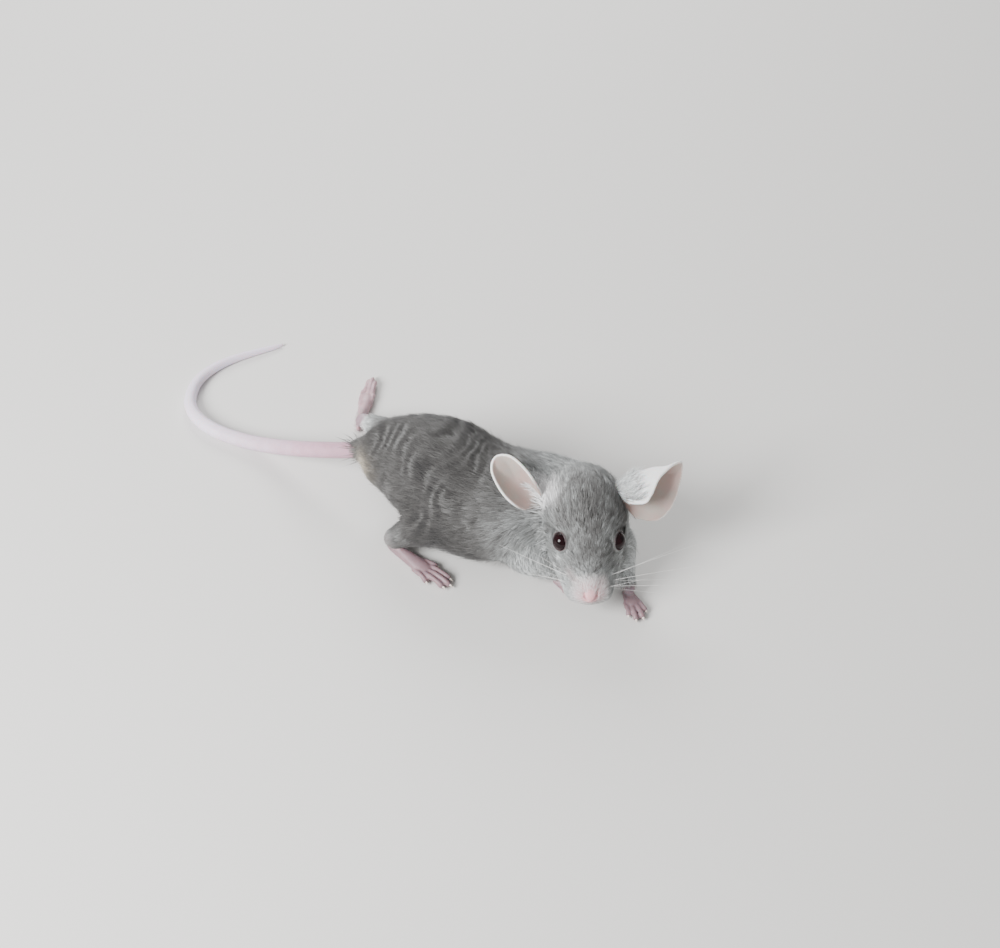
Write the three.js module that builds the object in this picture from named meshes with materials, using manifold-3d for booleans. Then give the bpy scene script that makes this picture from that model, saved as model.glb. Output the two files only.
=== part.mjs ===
// A life-size grey mouse, stretched forward with its head low and turned to its right.
// Millimetres, +Z up, feet on Z = 0. The head faces -Y and the body and tail run back towards -X.
//
// The flesh is one smooth field: balls and bones that melt into each other. It is meshed node by
// node, and each node is the part of it that lies in that node's region, with a thin gap between.
// Ears, eyes, feet and tail are closed surfaces of their own.
import * as THREE from 'three';
import Module from 'manifold-3d';

const wasm = await Module();
wasm.setup();

// ---- Driving dimensions ----

const GAP = 0.3; // between neighbouring nodes
const EYE_RADIUS = 1.95;
const EAR_THICKNESS = 0.8;
const HEAD_PITCH = 22; // degrees that the nose points down
const HEAD_YAW = 2; // degrees that the head turns towards its left, from facing -Y
const HEAD_ROLL = 3; // degrees that the crown leans to the mouse's left
const TAIL_ROOT_RADIUS = 1.75;
const TAIL_TIP_RADIUS = 0.55;
const HIND_FOOT_LENGTH = 16.5;
const FOREPAW_LENGTH = 7;

const SHORTEST_EDGE = 0.05; // an edge left shorter by a cut is closed up
const CELL = { head: 2.1, neck: 3.3, trunk: 3.7, limb: 2.8 }; // mesh size of each kind of flesh

const v = (x, y, z) => new THREE.Vector3(x, y, z);
const mix = THREE.MathUtils.lerp;
const smooth = THREE.MathUtils.smoothstep;
const radians = THREE.MathUtils.degToRad;

// ---- Skeleton: where the flesh hangs ----

// Backbone from the tail's root to the nape, and how thick the body is there.
const BACKBONE = [
  { at: v(-24.6, 13.2, 14.5), radius: 2.6 },
  { at: v(-16.4, 11.2, 14.5), radius: 8.3 },
  { at: v(-11.2, 9, 14.5), radius: 10.3 },
  { at: v(-6.9, 6.3, 14.2), radius: 11.7 },
  { at: v(-1.8, 3.2, 13.6), radius: 11.4 },
  { at: v(4.4, 1.1, 13), radius: 10.5 },
  { at: v(9.4, 1.2, 12.6), radius: 9.8 },
  { at: v(14.5, 1.2, 12.8), radius: 8.8 },
  { at: v(20.5, -0.6, 13.8), radius: 7.3 },
];

// The head's frame: x from the back of the skull to the nose, y to the mouse's left, z up.
const HEAD = new THREE.Matrix4()
  .makeTranslation(21.3, 1.7, 17.6)
  .multiply(new THREE.Matrix4().makeRotationZ(radians(HEAD_YAW - 90)))
  .multiply(new THREE.Matrix4().makeRotationY(radians(HEAD_PITCH)))
  .multiply(new THREE.Matrix4().makeRotationX(radians(-HEAD_ROLL)));
const inHead = (x, y, z) => v(x, y, z).applyMatrix4(HEAD);
const EYE = { forward: 14.2, aside: 5.3, up: 3.3 };

// Each limb from its root to the ankle or wrist: a joint and the flesh's radius there.
const LIMBS = {
  hind_leg_right: [
    { at: v(-10.2, 2.8, 12.7), radius: 7.7 },
    { at: v(-8.8, -1.8, 8.7), radius: 4.6 },
    { at: v(-17.4, -2.2, 4), radius: 2.3 },
  ],
  hind_leg_left: [
    { at: v(-11, 12, 13), radius: 7.2 },
    { at: v(-13, 19.6, 8.6), radius: 4.6 },
    { at: v(-26.2, 33, 3.3), radius: 1.8 },
  ],
  foreleg_right: [
    { at: v(7.5, -4.2, 10.8), radius: 7.2 },
    { at: v(10.6, -7.6, 7.2), radius: 5.2 },
    { at: v(16.4, -11.2, 3), radius: 1.6 },
  ],
  foreleg_left: [
    { at: v(21, -3, 12), radius: 7 },
    { at: v(27.6, -7, 7.6), radius: 3.9 },
    { at: v(30.4, -14.6, 3), radius: 1.6 },
  ],
};

// ---- The flesh field: negative inside, positive outside, near to a distance in mm ----

function ball(centre, radii, melt, frame) {
  const inverse = frame ? frame.clone().invert() : new THREE.Matrix4();
  const scale = v(1 / radii[0], 1 / radii[1], 1 / radii[2]);
  const p = v(0, 0, 0);
  const distance = (point) => {
    p.copy(point).applyMatrix4(inverse).sub(centre).multiply(scale);
    const near = p.length();
    return (near * (near - 1)) / Math.max(p.multiply(scale).length(), 1e-9);
  };
  return { distance, melt };
}

// A rod between two points, with its own radius at each.
function bone(from, to, fromRadius, toRadius, melt) {
  const along = to.clone().sub(from);
  const p = v(0, 0, 0);
  const distance = (point) => {
    p.copy(point).sub(from);
    const share = THREE.MathUtils.clamp(p.dot(along) / along.lengthSq(), 0, 1);
    return p.addScaledVector(along, -share).length() - mix(fromRadius, toRadius, share);
  };
  return { distance, melt };
}

function bothSides(centre, radii, melt) {
  return [1, -1].map((side) => ball(v(centre[0], side * centre[1], centre[2]), radii, melt, HEAD));
}

function trunkMasses() {
  const spine = BACKBONE.slice(1).map((to, i) => {
    const from = BACKBONE[i];
    return bone(from.at, to.at, from.radius, to.radius, 1);
  });
  const belly = ball(v(1.5, -1.5, 10.3), [13, 9.7, 8.9], 3);
  return [...spine, belly];
}

function headMasses() {
  return [
    ball(v(7.4, 0, 1.4), [8.5, 8, 8], 3, HEAD), // skull
    ball(v(4.2, 0, -2.5), [7.3, 7.6, 6.5], 3, HEAD), // throat
    ...bothSides([9.2, 3.8, -2.2], [7.8, 4.6, 5.3], 2.5), // cheeks
    ...bothSides([16.4, 3.1, -2.1], [6, 3.6, 4], 2.2), // jowls
    ball(v(13.4, 0, 1.9), [7.2, 5.6, 5.1], 2.5, HEAD), // brow
    bone(inHead(13.5, 0, -0.8), inHead(22, 0, -0.8), 5.3, 3.4, 2), // muzzle
    ...bothSides([22, 2.3, -1.5], [3.4, 2.8, 2.7], 1.2), // whisker pads
    ball(v(24.2, 0, 0.2), [1.7, 1.5, 1.4], 1.2, HEAD), // nose
    ball(v(23.7, 0, -2.4), [1.9, 2.6, 1.7], 1.2, HEAD), // upper lip
    ball(v(20, 0, -4.2), [3.8, 2.7, 1.9], 1.4, HEAD), // chin
  ];
}

function limbMasses() {
  return Object.values(LIMBS).flatMap((joints) =>
    joints.slice(1).map((joint, i) => bone(joints[i].at, joint.at, joints[i].radius, joint.radius, 2.6)),
  );
}

const MASSES = [...trunkMasses(), ...headMasses(), ...limbMasses()];

// Joins the masses, each melting into those before it over its own reach.
function flesh(point) {
  let d = Infinity;
  for (const { distance, melt } of MASSES) {
    const next = distance(point);
    const overlap = Math.max(melt - Math.abs(d - next), 0) / melt;
    d = Math.min(d, next) - (overlap * overlap * melt) / 4;
  }
  return d;
}

// ---- From a field to a closed mesh ----

function buffer(positions, index) {
  return new THREE.BufferGeometry()
    .setAttribute('position', new THREE.Float32BufferAttribute(positions, 3))
    .setIndex(index);
}

// Moves a point that is near the surface onto it.
function settle(field, point, near) {
  const [reach, axes] = [0.05, [v(1, 0, 0), v(0, 1, 0), v(0, 0, 1)]];
  for (let round = 0; round < 2; round++) {
    const d = field(point);
    if (Math.abs(d) > near) return point;
    const slope = v(...axes.map((axis) => (field(point.clone().addScaledVector(axis, reach)) - d) / reach));
    point.addScaledVector(slope, -d / Math.max(slope.lengthSq(), 0.3));
  }
  return point;
}

// One vertex for each grid cell that the surface crosses, and a quad across each grid edge that it cuts.
function isosurface(field, box, cell) {
  const size = box.getSize(v(0, 0, 0));
  const n = size.toArray().map((side) => Math.ceil(side / cell) + 1);
  const step = [1, n[0], n[0] * n[1]];
  const value = new Float32Array(n[0] * n[1] * n[2]);
  const vertexOf = new Int32Array(value.length).fill(-1);
  const positions = [];
  const index = [];
  const each = (from, visit) => {
    for (let k = from; k < n[2]; k++)
      for (let j = from; j < n[1]; j++)
        for (let i = from; i < n[0]; i++) visit([i, j, k], i + j * step[1] + k * step[2]);
  };
  const place = (grid) => v(...grid).multiplyScalar(cell).add(box.min);
  each(0, (grid, at) => {
    const onBorder = grid.some((g, axis) => g === 0 || g === n[axis] - 1);
    const d = field(place(grid));
    value[at] = onBorder ? Math.max(d, cell / 2) : d;
  });

  // Cells are known by their highest corner.
  each(1, (grid, at) => {
    const sum = v(0, 0, 0);
    let crossings = 0;
    for (let corner = 0; corner < 8; corner++) {
      const low = at - (corner & 1 ? step[0] : 0) - (corner & 2 ? step[1] : 0) - (corner & 4 ? step[2] : 0);
      for (let axis = 0; axis < 3; axis++) {
        if (!(corner & (1 << axis))) continue;
        const high = low + step[axis];
        if (value[low] < 0 === value[high] < 0) continue;
        const point = place(grid.map((g, a) => g - ((corner >> a) & 1)));
        const share = value[low] / (value[low] - value[high]);
        sum.add(point.setComponent(axis, point.getComponent(axis) + share * cell));
        crossings++;
      }
    }
    if (!crossings) return;
    vertexOf[at] = positions.length / 3;
    positions.push(...settle(field, sum.divideScalar(crossings), cell / 3).toArray());
  });

  each(1, (grid, at) => {
    for (let axis = 0; axis < 3; axis++) {
      const [b, c] = [step[(axis + 1) % 3], step[(axis + 2) % 3]];
      if (grid[(axis + 1) % 3] === n[(axis + 1) % 3] - 1) continue;
      if (grid[(axis + 2) % 3] === n[(axis + 2) % 3] - 1) continue;
      const low = at - step[axis];
      if (value[low] < 0 === value[at] < 0) continue;
      const ring = [at, at + b, at + b + c, at + c].map((i) => vertexOf[i]);
      if (value[low] > 0) ring.reverse();
      index.push(ring[0], ring[1], ring[2], ring[0], ring[2], ring[3]);
    }
  });
  return buffer(positions, index);
}

// A closed tube: at(share) gives the centre, and width and height the half sizes of its section there.
function tube({ at, width, height = width, steps, sides, up = v(0, 0, 1) }) {
  const positions = [];
  const index = [];
  const push = (p) => positions.push(p.x, p.y, p.z);
  for (let i = 0; i <= steps; i++) {
    const share = i / steps;
    const centre = at(share);
    const along = at(Math.min(share + 0.01, 1)).sub(at(Math.max(share - 0.01, 0))).normalize();
    const aside = up.clone().cross(along).normalize();
    const lift = along.clone().cross(aside);
    for (let s = 0; s < sides; s++) {
      const turn = (s / sides) * Math.PI * 2;
      push(
        centre
          .clone()
          .addScaledVector(aside, Math.cos(turn) * width(share))
          .addScaledVector(lift, Math.sin(turn) * height(share)),
      );
    }
  }
  const ends = [positions.length / 3, positions.length / 3 + 1];
  push(at(0));
  push(at(1));
  for (let s = 0; s < sides; s++) {
    const next = (s + 1) % sides;
    for (let i = 0; i < steps; i++) {
      const [a, b] = [i * sides + s, i * sides + next];
      index.push(a, b, b + sides, a, b + sides, a + sides);
    }
    index.push(ends[0], next, s, ends[1], steps * sides + s, steps * sides + next);
  }
  return buffer(positions, index);
}

// ---- Between geometries and solids ----

function solid(geometry) {
  return new wasm.Manifold(
    new wasm.Mesh({
      numProp: 3,
      vertProperties: new Float32Array(geometry.getAttribute('position').array),
      triVerts: new Uint32Array(geometry.index.array),
    }),
  );
}

// three.js doubles the vertices at a sphere's or box's seams, so these are merged by place.
function merged(geometry) {
  const at = geometry.getAttribute('position');
  const seen = new Map();
  const positions = [];
  const vertex = Array.from({ length: at.count }, (_, i) => {
    const key = [at.getX(i), at.getY(i), at.getZ(i)].map((x) => Math.round(x * 1e4)).join();
    if (!seen.has(key)) {
      seen.set(key, positions.length / 3);
      positions.push(at.getX(i), at.getY(i), at.getZ(i));
    }
    return seen.get(key);
  });
  const index = [];
  for (let i = 0; i < geometry.index.count; i += 3) {
    const face = [0, 1, 2].map((corner) => vertex[geometry.index.getX(i + corner)]);
    if (new Set(face).size === 3) index.push(...face);
  }
  return buffer(positions, index);
}

// Pulls the ends of each short edge together, where the surface stays closed: cuts leave slivers.
function withoutShortEdges(positions, triangles) {
  const at = (i) => v(positions[3 * i], positions[3 * i + 1], positions[3 * i + 2]);
  let faces = Array.from({ length: triangles.length / 3 }, (_, i) => [...triangles.slice(3 * i, 3 * i + 3)]);
  const edges = () => faces.flatMap(([a, b, c]) => [[a, b], [b, c], [c, a]]);
  for (;;) {
    const beside = new Map();
    for (const [a, b] of edges()) {
      if (!beside.has(a)) beside.set(a, new Set());
      beside.get(a).add(b);
    }
    const shared = (a, b) => [...beside.get(a)].filter((i) => beside.get(b).has(i)).length;
    const tooShort = (a, b) => at(a).distanceTo(at(b)) < SHORTEST_EDGE && shared(a, b) === 2;
    const short = edges().find(([a, b]) => a < b && tooShort(a, b));
    if (!short) return { positions, faces };
    const [kept, lost] = short;
    positions.set(at(kept).add(at(lost)).multiplyScalar(0.5).toArray(), 3 * kept);
    faces = faces.map((face) => face.map((i) => (i === lost ? kept : i)));
    faces = faces.filter((face) => new Set(face).size === 3);
  }
}

function geometryOf(manifold) {
  const mesh = manifold.getMesh();
  const { positions, faces } = withoutShortEdges(new Float32Array(mesh.vertProperties), mesh.triVerts);
  return merged(buffer(positions, faces.flat()));
}

const largest = (manifold) =>
  manifold.decompose().reduce((best, piece) => (piece.volume() > best.volume() ? piece : best));

const ABOVE_FLOOR = solid(merged(new THREE.BoxGeometry(400, 400, 100))).translate([0, 0, 50]);

// ---- Regions: the space that each node of flesh may fill, plain or wider by a gap ----

// A box in a frame of its own.
function boxRegion(frame, low, high) {
  const size = high.clone().sub(low);
  const centre = low.clone().add(high).multiplyScalar(0.5);
  return (wider) =>
    solid(
      merged(new THREE.BoxGeometry(...size.clone().addScalar(2 * wider).toArray()))
        .translate(...centre.toArray())
        .applyMatrix4(frame),
    );
}

// An egg round two points of a limb.
function eggRegion(from, to, radius) {
  const along = to.clone().sub(from);
  const turn = new THREE.Quaternion().setFromUnitVectors(v(0, 1, 0), along.clone().normalize());
  const centre = from.clone().add(to).multiplyScalar(0.5);
  return (wider) =>
    solid(
      merged(new THREE.SphereGeometry(1, 12, 7))
        .scale(radius + wider, along.length() / 2 + radius + wider, radius + wider)
        .applyQuaternion(turn)
        .translate(...centre.toArray()),
    );
}

function fleshNodes() {
  const nodes = new Map();
  const taken = fittings(GAP);
  const claim = (name, cell, reach, region) => {
    let piece = solid(isosurface(flesh, reach, cell));
    if (region) {
      piece = piece.intersect(region(0));
      taken.forEach((other) => (piece = piece.subtract(other)));
      taken.push(region(GAP));
    } else taken.forEach((other) => (piece = piece.subtract(other)));
    nodes.set(name, largest(piece));
  };
  const around = (points, margin) => new THREE.Box3().setFromPoints(points).expandByScalar(margin);

  for (const [name, [root, middle, end]] of Object.entries(LIMBS)) {
    const lower = around([middle.at, end.at], middle.radius + 2);
    const upper = around([root.at, middle.at], root.radius + 5);
    const [upperName, lowerName] = name.startsWith('hind')
      ? [name.replace('leg', 'thigh'), name.replace('leg', 'shank')]
      : [name.replace('foreleg', 'upper_arm'), name.replace('foreleg', 'forearm')];
    claim(lowerName, CELL.limb, lower, eggRegion(middle.at, end.at, middle.radius * 0.86));
    claim(upperName, CELL.limb, upper, eggRegion(root.at, middle.at, root.radius * 0.92));
  }
  const headCorners = [inHead(-4, -12, -12), inHead(30, 12, 14), inHead(-4, 12, -12), inHead(30, -12, 14)];
  claim('head', CELL.head, around(headCorners, 4), boxRegion(HEAD, v(3.5, -10.4, -9), v(32, 12, 16)));
  const neckRegion = boxRegion(HEAD, v(-13, -9.2, -12), v(3.5 - GAP, 14, 16));
  claim('neck', CELL.neck, around([v(19, 1, 15)], 17), neckRegion);
  claim('trunk', CELL.trunk, around([v(-28, -16, 0), v(26, 24, 32)], 2));
  return nodes;
}

// ---- Eyes ----

function eyeSolid(side, wider) {
  const aside = side === 'left' ? EYE.aside : -EYE.aside;
  const ball = merged(new THREE.SphereGeometry(EYE_RADIUS + wider, 12, 8));
  return solid(ball.translate(...inHead(EYE.forward, aside, EYE.up).toArray()));
}

// ---- Ears: a cupped leaf with a front and a back sheet ----

// Each ear's leaf is spread between three curves from its root to its tip: the rim by the crown, the
// ridge along the ear's back, and the outer rim.
const EARS = {
  ear_right: earCurves({
    tip: v(3.4, -1.1, 27.3),
    inner: [v(13.2, -5, 18.5), v(11.4, -5.2, 23.7), v(9.2, -3.8, 26.7), v(6.3, -1.6, 28)],
    ridge: [v(12.9, -5.3, 18.1), v(10.5, -3.5, 20.1), v(7.9, -2.5, 22.5), v(5.5, -1.8, 25)],
    outer: [v(11.6, -6.7, 16.7), v(7.7, -7.7, 19.7), v(4.7, -6.4, 22.4), v(2.6, -3.5, 25.6)],
  }),
  ear_left: earCurves({
    tip: v(40.3, -0.7, 25.4),
    inner: [v(27, -6.4, 19.6), v(32.4, -8.4, 21.3), v(34.1, -7.7, 23), v(36, -4.6, 25.1)],
    ridge: [v(26.4, -3.4, 20.5), v(30.5, -2.1, 23), v(33.5, -1.7, 24), v(36.8, -1.2, 24.8)],
    outer: [v(27.9, -6.8, 16.9), v(34.8, -7.9, 15.7), v(38.2, -6, 16.9), v(40.1, -3.1, 20.5)],
  }),
};
const RIDGE_SHARE = 0.42; // how far from the inner rim to the outer one the ridge lies

function earCurves({ tip, inner, ridge, outer }) {
  const smoothCurve = (knots) => new THREE.CatmullRomCurve3(knots, false, 'catmullrom', 0.5);
  const middle = ridge[2];
  const root = inner[0].clone().add(ridge[0]).add(outer[0]).divideScalar(3);
  const out = inner[2].clone().add(outer[2]).divideScalar(2).sub(middle);
  const along = ridge[3].clone().sub(ridge[1]);
  const hand = Math.sign(outer[2].clone().sub(inner[2]).cross(along).dot(out));
  const rim = smoothCurve([...inner, tip, ...outer.toReversed()]);
  const points = tip.clone().sub(root).normalize();
  return { rim, ridge: smoothCurve([...ridge, tip]), points, middle, hand };
}

// A point of the ear's middle sheet: share goes from root to tip, across from -1 at the inner rim to 1.
function earPoint(share, across, ear) {
  const inner = ear.rim.getPoint(share / 2);
  const outer = ear.rim.getPoint(1 - share / 2);
  const bend = ear.ridge
    .getPoint(share)
    .addScaledVector(inner, -((1 - RIDGE_SHARE) ** 2))
    .addScaledVector(outer, -(RIDGE_SHARE ** 2))
    .divideScalar(2 * RIDGE_SHARE * (1 - RIDGE_SHARE));
  const t = (across + 1) / 2;
  return inner
    .multiplyScalar((1 - t) ** 2)
    .addScaledVector(bend, 2 * t * (1 - t))
    .addScaledVector(outer, t * t);
}

// Which way the sheet faces out of the ear's hollow.
function earFacing(share, across, ear) {
  const start = Math.max(share - 0.01, 0);
  const along = earPoint(Math.min(share + 0.01, 0.999), across, ear).sub(earPoint(start, across, ear));
  const aside = earPoint(share, across + 0.02, ear).sub(earPoint(share, across - 0.02, ear));
  return aside.cross(along).normalize().multiplyScalar(ear.hand);
}

// The ear as a leaf of even thickness; wider makes it large enough to cut its own place in the head.
function earSolid(name, wider) {
  const ear = EARS[name];
  const [turns, rings] = [18, 3];
  const positions = [];
  const index = [];
  const scale = 1 + wider / 5;
  const push = (share, across, sheet, thickness) => {
    const out = (sheet * (thickness + 3.2 * wider)) / 2;
    const p = earPoint(share, across, ear).sub(ear.middle).multiplyScalar(scale).add(ear.middle);
    p.addScaledVector(ear.points, -1.5 * wider).addScaledVector(earFacing(share, across, ear), out);
    positions.push(p.x, p.y, p.z);
  };
  for (const sheet of [1, -1]) {
    for (let ring = 1; ring <= rings; ring++)
      for (let s = 0; s < turns; s++) {
        const turn = ((s + 0.5) / turns) * Math.PI * 2;
        const [along, aside] = [-Math.cos(turn) / 2, Math.sin(turn)];
        const edge = along < 0 ? THREE.MathUtils.clamp(1.6 * aside, -1, 1) : Math.sign(aside);
        const thickness = ring === rings ? 0.65 * EAR_THICKNESS : EAR_THICKNESS;
        push(0.5 + (along * ring) / rings, (edge * ring) / rings, sheet, thickness);
      }
    push(0.5, 0, sheet, EAR_THICKNESS);
  }
  const sheetSize = rings * turns + 1;
  const turned = ear.hand > 0 ? 1 : 0;
  const face = (back, a, b, c) => index.push(...(back === turned ? [a, b, c] : [a, c, b]));
  for (let s = 0; s < turns; s++) {
    const next = (s + 1) % turns;
    for (const sheet of [0, 1]) {
      const first = sheet * sheetSize;
      face(sheet, first + sheetSize - 1, first + next, first + s);
      for (let ring = 1; ring < rings; ring++) {
        const [inner, outer] = [first + (ring - 1) * turns, first + ring * turns];
        face(sheet, inner + s, inner + next, outer + next);
        face(sheet, inner + s, outer + next, outer + s);
      }
    }
    const [front, back] = [(rings - 1) * turns, (rings - 1) * turns + sheetSize];
    face(0, front + s, front + next, back + next);
    face(0, front + s, back + next, back + s);
  }
  return solid(buffer(positions, index));
}

// ---- Tail: laid back on the floor in an open curl, in lengths ----

const TAIL_PATH = new THREE.CatmullRomCurve3([
  v(-23.6, 12.6, 14.6),
  v(-31.6, 16.8, 10.46),
  v(-38.6, 20.8, 6.65),
  v(-45.8, 25, 3.25),
  v(-52.9, 28.4, 1.69),
  v(-59.6, 32, 1.51),
  v(-64.1, 36.7, 1.42),
  v(-65.6, 42, 1.32),
  v(-64, 48.8, 1.17),
  v(-58, 54.8, 0.94),
  v(-46.2, 60.6, 0.5),
]);
const TAIL_LENGTHS = 5;
const tailRadius = (share) => mix(TAIL_ROOT_RADIUS, TAIL_TIP_RADIUS, share ** 2.8);

function tailSolid(i, wider) {
  const gapShare = GAP / TAIL_PATH.getLength();
  const from = (i + (i ? gapShare / 2 : 0)) / TAIL_LENGTHS;
  const last = i === TAIL_LENGTHS - 1;
  const to = last ? 1 : (i + 1) / TAIL_LENGTHS - gapShare;
  const rounded = (share) => (last && share > 0.9 ? Math.sqrt(Math.max(1 - (share * 10 - 9) ** 2, 0.1)) : 1);
  const shape = tube({
    at: (share) => TAIL_PATH.getPointAt(mix(from, to, share)),
    width: (share) => tailRadius(mix(from, to, share)) * rounded(share) + wider,
    steps: 7,
    sides: 8,
  });
  return solid(shape).intersect(ABOVE_FLOOR);
}

// ---- Feet: a palm with toes, in a frame of its own: x towards the toes, y to the inner toe ----

// Toes from the inner to the outer side: where each leaves the palm, where it ends, and its radius.
const HIND_TOES = [
  { from: [7.6, 1.5], to: [10.6, 3.4], radius: 0.58 },
  { from: [9.8, 1.3], to: [14.9, 2.1], radius: 0.62 },
  { from: [10.2, 0.1], to: [16, 0.3], radius: 0.64 },
  { from: [9.9, -1.1], to: [15.2, -1.6], radius: 0.62 },
  { from: [8, -1.7], to: [11.6, -3.5], radius: 0.56 },
];
const FORE_TOES = [
  { from: [2.8, 1.2], to: [5.1, 2.5], radius: 0.5 },
  { from: [3.4, 0.5], to: [6.7, 1.2], radius: 0.52 },
  { from: [3.4, -0.5], to: [6.7, -0.7], radius: 0.52 },
  { from: [2.8, -1.2], to: [5.2, -2.3], radius: 0.48 },
];
const FEET = {
  hind_foot_right: { at: v(-18, -2.2, 0), heading: -40, mirror: 1, spread: 0.8, slim: 0.85 },
  hind_foot_left: { at: v(-27, 33.2, 0), heading: 82, mirror: -1, spread: 0.5, slim: 0.75 },
  forepaw_right: { at: v(16.6, -11.4, 0), heading: -36, mirror: 1, spread: 0.8, slim: 1 },
  forepaw_left: { at: v(30.3, -14.6, 0), heading: -70, mirror: -1, spread: 0.8, slim: 1 },
};
const CLAW_SHARE = 0.16; // of a toe's length

function toeSolid({ from, to, radius }, spread) {
  const aside = (share) => mix(from[1], to[1] * spread, share);
  const place = (share, up) => v(mix(from[0], to[0], share), aside(share), up * radius);
  const path = new THREE.CatmullRomCurve3([
    v(from[0] - 1.2, from[1], radius * 1.4),
    place(0.45, 2.1),
    place(0.85, 1.05),
    place(1, 0.6),
  ]);
  const clawStart = 1 - CLAW_SHARE;
  const width = (share) => (share > clawStart ? mix(0.36, 0.25, (share - clawStart) / CLAW_SHARE) : radius);
  return solid(tube({ at: (share) => path.getPoint(share), width, steps: 4, sides: 4 }));
}

function palmSolid(hind, wider) {
  const [heel, ball] = hind ? [-1.4, 10.4] : [-1.6, 3.6];
  const [heelWidth, ballWidth] = hind ? [1.15, 2.1] : [1, 1.65];
  const [heelHeight, ballHeight] = hind ? [1.5, 1] : [1.25, 0.9];
  const dome = (share) => Math.sqrt(Math.max(1 - Math.abs(2 * share - 1) ** 5, 0.12));
  const shape = tube({
    at: (share) => v(mix(heel - wider, ball, share), 0, mix(heelHeight, ballHeight, share) - 0.12),
    width: (share) => mix(heelWidth, ballWidth, smooth(share, 0.1, 0.9)) * dome(share) + wider,
    height: (share) => mix(heelHeight, ballHeight, share) * dome(share) + wider,
    steps: 6,
    sides: 8,
  });
  return solid(shape);
}

function footSolid(name, wider) {
  const { at, heading, mirror, spread, slim } = FEET[name];
  const hand = mirror * slim;
  const hind = name.startsWith('hind');
  const scale = hind ? HIND_FOOT_LENGTH / 16 : FOREPAW_LENGTH / 6.7;
  let foot = palmSolid(hind, wider);
  if (!wider) for (const toe of hind ? HIND_TOES : FORE_TOES) foot = foot.add(toeSolid(toe, spread));
  const [c, s] = [scale * Math.cos(radians(heading)), scale * Math.sin(radians(heading))];
  const columns = [c, s, 0, 0, -hand * s, hand * c, 0, 0, 0, 0, scale, 0, at.x, at.y, 0, 1];
  const placed = foot.transform(columns);
  return placed.intersect(ABOVE_FLOOR);
}

// ---- Everything that is fitted into the flesh, plain or wider by a gap ----

function fittings(wider) {
  return [
    ...['left', 'right'].map((side) => eyeSolid(side, wider / 2)),
    ...Object.keys(EARS).map((name) => earSolid(name, wider)),
    ...Object.keys(FEET).map((name) => footSolid(name, wider)),
    tailSolid(0, wider),
  ];
}

// ---- Colours and assembly ----

const FINISH = {
  fur: { color: 0x8b8d8b, roughness: 0.85 },
  ear: { color: 0xd8c4bc, roughness: 0.6 },
  tail: { color: 0xcbb0bb, roughness: 0.55 },
  paw: { color: 0xc9a4a8, roughness: 0.55 },
  eye: { color: 0x1c0a0d, roughness: 0.08 },
};

function finishOf(name) {
  if (name.startsWith('ear')) return FINISH.ear;
  if (name.startsWith('eye')) return FINISH.eye;
  if (name.startsWith('tail')) return FINISH.tail;
  if (name.includes('foot') || name.includes('paw')) return FINISH.paw;
  return FINISH.fur;
}

const solids = fleshNodes();
for (const side of ['left', 'right']) solids.set(`eye_${side}`, eyeSolid(side, 0));
for (const name of Object.keys(EARS)) solids.set(name, earSolid(name, 0));
for (const name of Object.keys(FEET)) solids.set(name, footSolid(name, 0));
for (let i = 0; i < TAIL_LENGTHS; i++) solids.set(`tail_${i + 1}`, tailSolid(i, 0));

const mouse = new THREE.Group();
mouse.name = 'mouse';
for (const [name, piece] of solids) {
  const material = new THREE.MeshStandardMaterial({ metalness: 0, ...finishOf(name) });
  const mesh = new THREE.Mesh(geometryOf(piece), material);
  mesh.name = name;
  mouse.add(mesh);
}

// The origin is under the middle of the whole animal, on the floor.
const extent = new THREE.Box3().setFromObject(mouse);
const middle = extent.getCenter(v(0, 0, 0));
mouse.position.set(-middle.x, -middle.y, -extent.min.z);

export default mouse;
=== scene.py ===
"""A life-size grey mouse: one skin, a coat of fine tufts, eyes, claws and whiskers over the CAD frame.

Shapes are worked out in millimetres in the part's drawing frame (+Z up, the head facing -Y and the
body running back towards -X). They become metres in the row's frame when a mesh is made.
"""

import math
from collections import namedtuple

import bpy
import numpy as np
from mathutils import Matrix, Vector
from mathutils.kdtree import KDTree


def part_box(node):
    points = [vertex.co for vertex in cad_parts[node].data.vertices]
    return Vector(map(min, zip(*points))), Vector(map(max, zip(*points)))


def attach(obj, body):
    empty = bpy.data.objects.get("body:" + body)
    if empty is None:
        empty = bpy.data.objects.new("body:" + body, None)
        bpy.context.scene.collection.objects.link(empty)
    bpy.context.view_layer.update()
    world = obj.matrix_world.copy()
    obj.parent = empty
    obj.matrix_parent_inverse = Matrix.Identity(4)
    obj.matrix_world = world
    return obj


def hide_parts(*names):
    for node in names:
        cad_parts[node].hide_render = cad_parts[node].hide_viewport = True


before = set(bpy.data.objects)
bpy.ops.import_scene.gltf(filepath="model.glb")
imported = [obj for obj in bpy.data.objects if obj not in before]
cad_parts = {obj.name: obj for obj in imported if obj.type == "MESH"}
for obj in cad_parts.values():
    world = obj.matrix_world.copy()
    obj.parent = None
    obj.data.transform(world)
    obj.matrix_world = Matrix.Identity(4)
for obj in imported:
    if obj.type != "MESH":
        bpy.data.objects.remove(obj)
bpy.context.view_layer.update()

# ---- frames

HEAD_PITCH, HEAD_YAW, HEAD_ROLL = 22, 2, 3  # degrees
HEAD = (
    Matrix.Translation((21.3, 1.7, 17.6))
    @ Matrix.Rotation(math.radians(HEAD_YAW - 90), 4, "Z")
    @ Matrix.Rotation(math.radians(HEAD_PITCH), 4, "Y")
    @ Matrix.Rotation(math.radians(-HEAD_ROLL), 4, "X")
)
EYE_PLACE = (14.2, 5.3, 3.3)  # in the head's frame: forward, aside, up
EYE_RADIUS = 1.95


def vec(x, y, z):
    return np.array((x, y, z), float)


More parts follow.
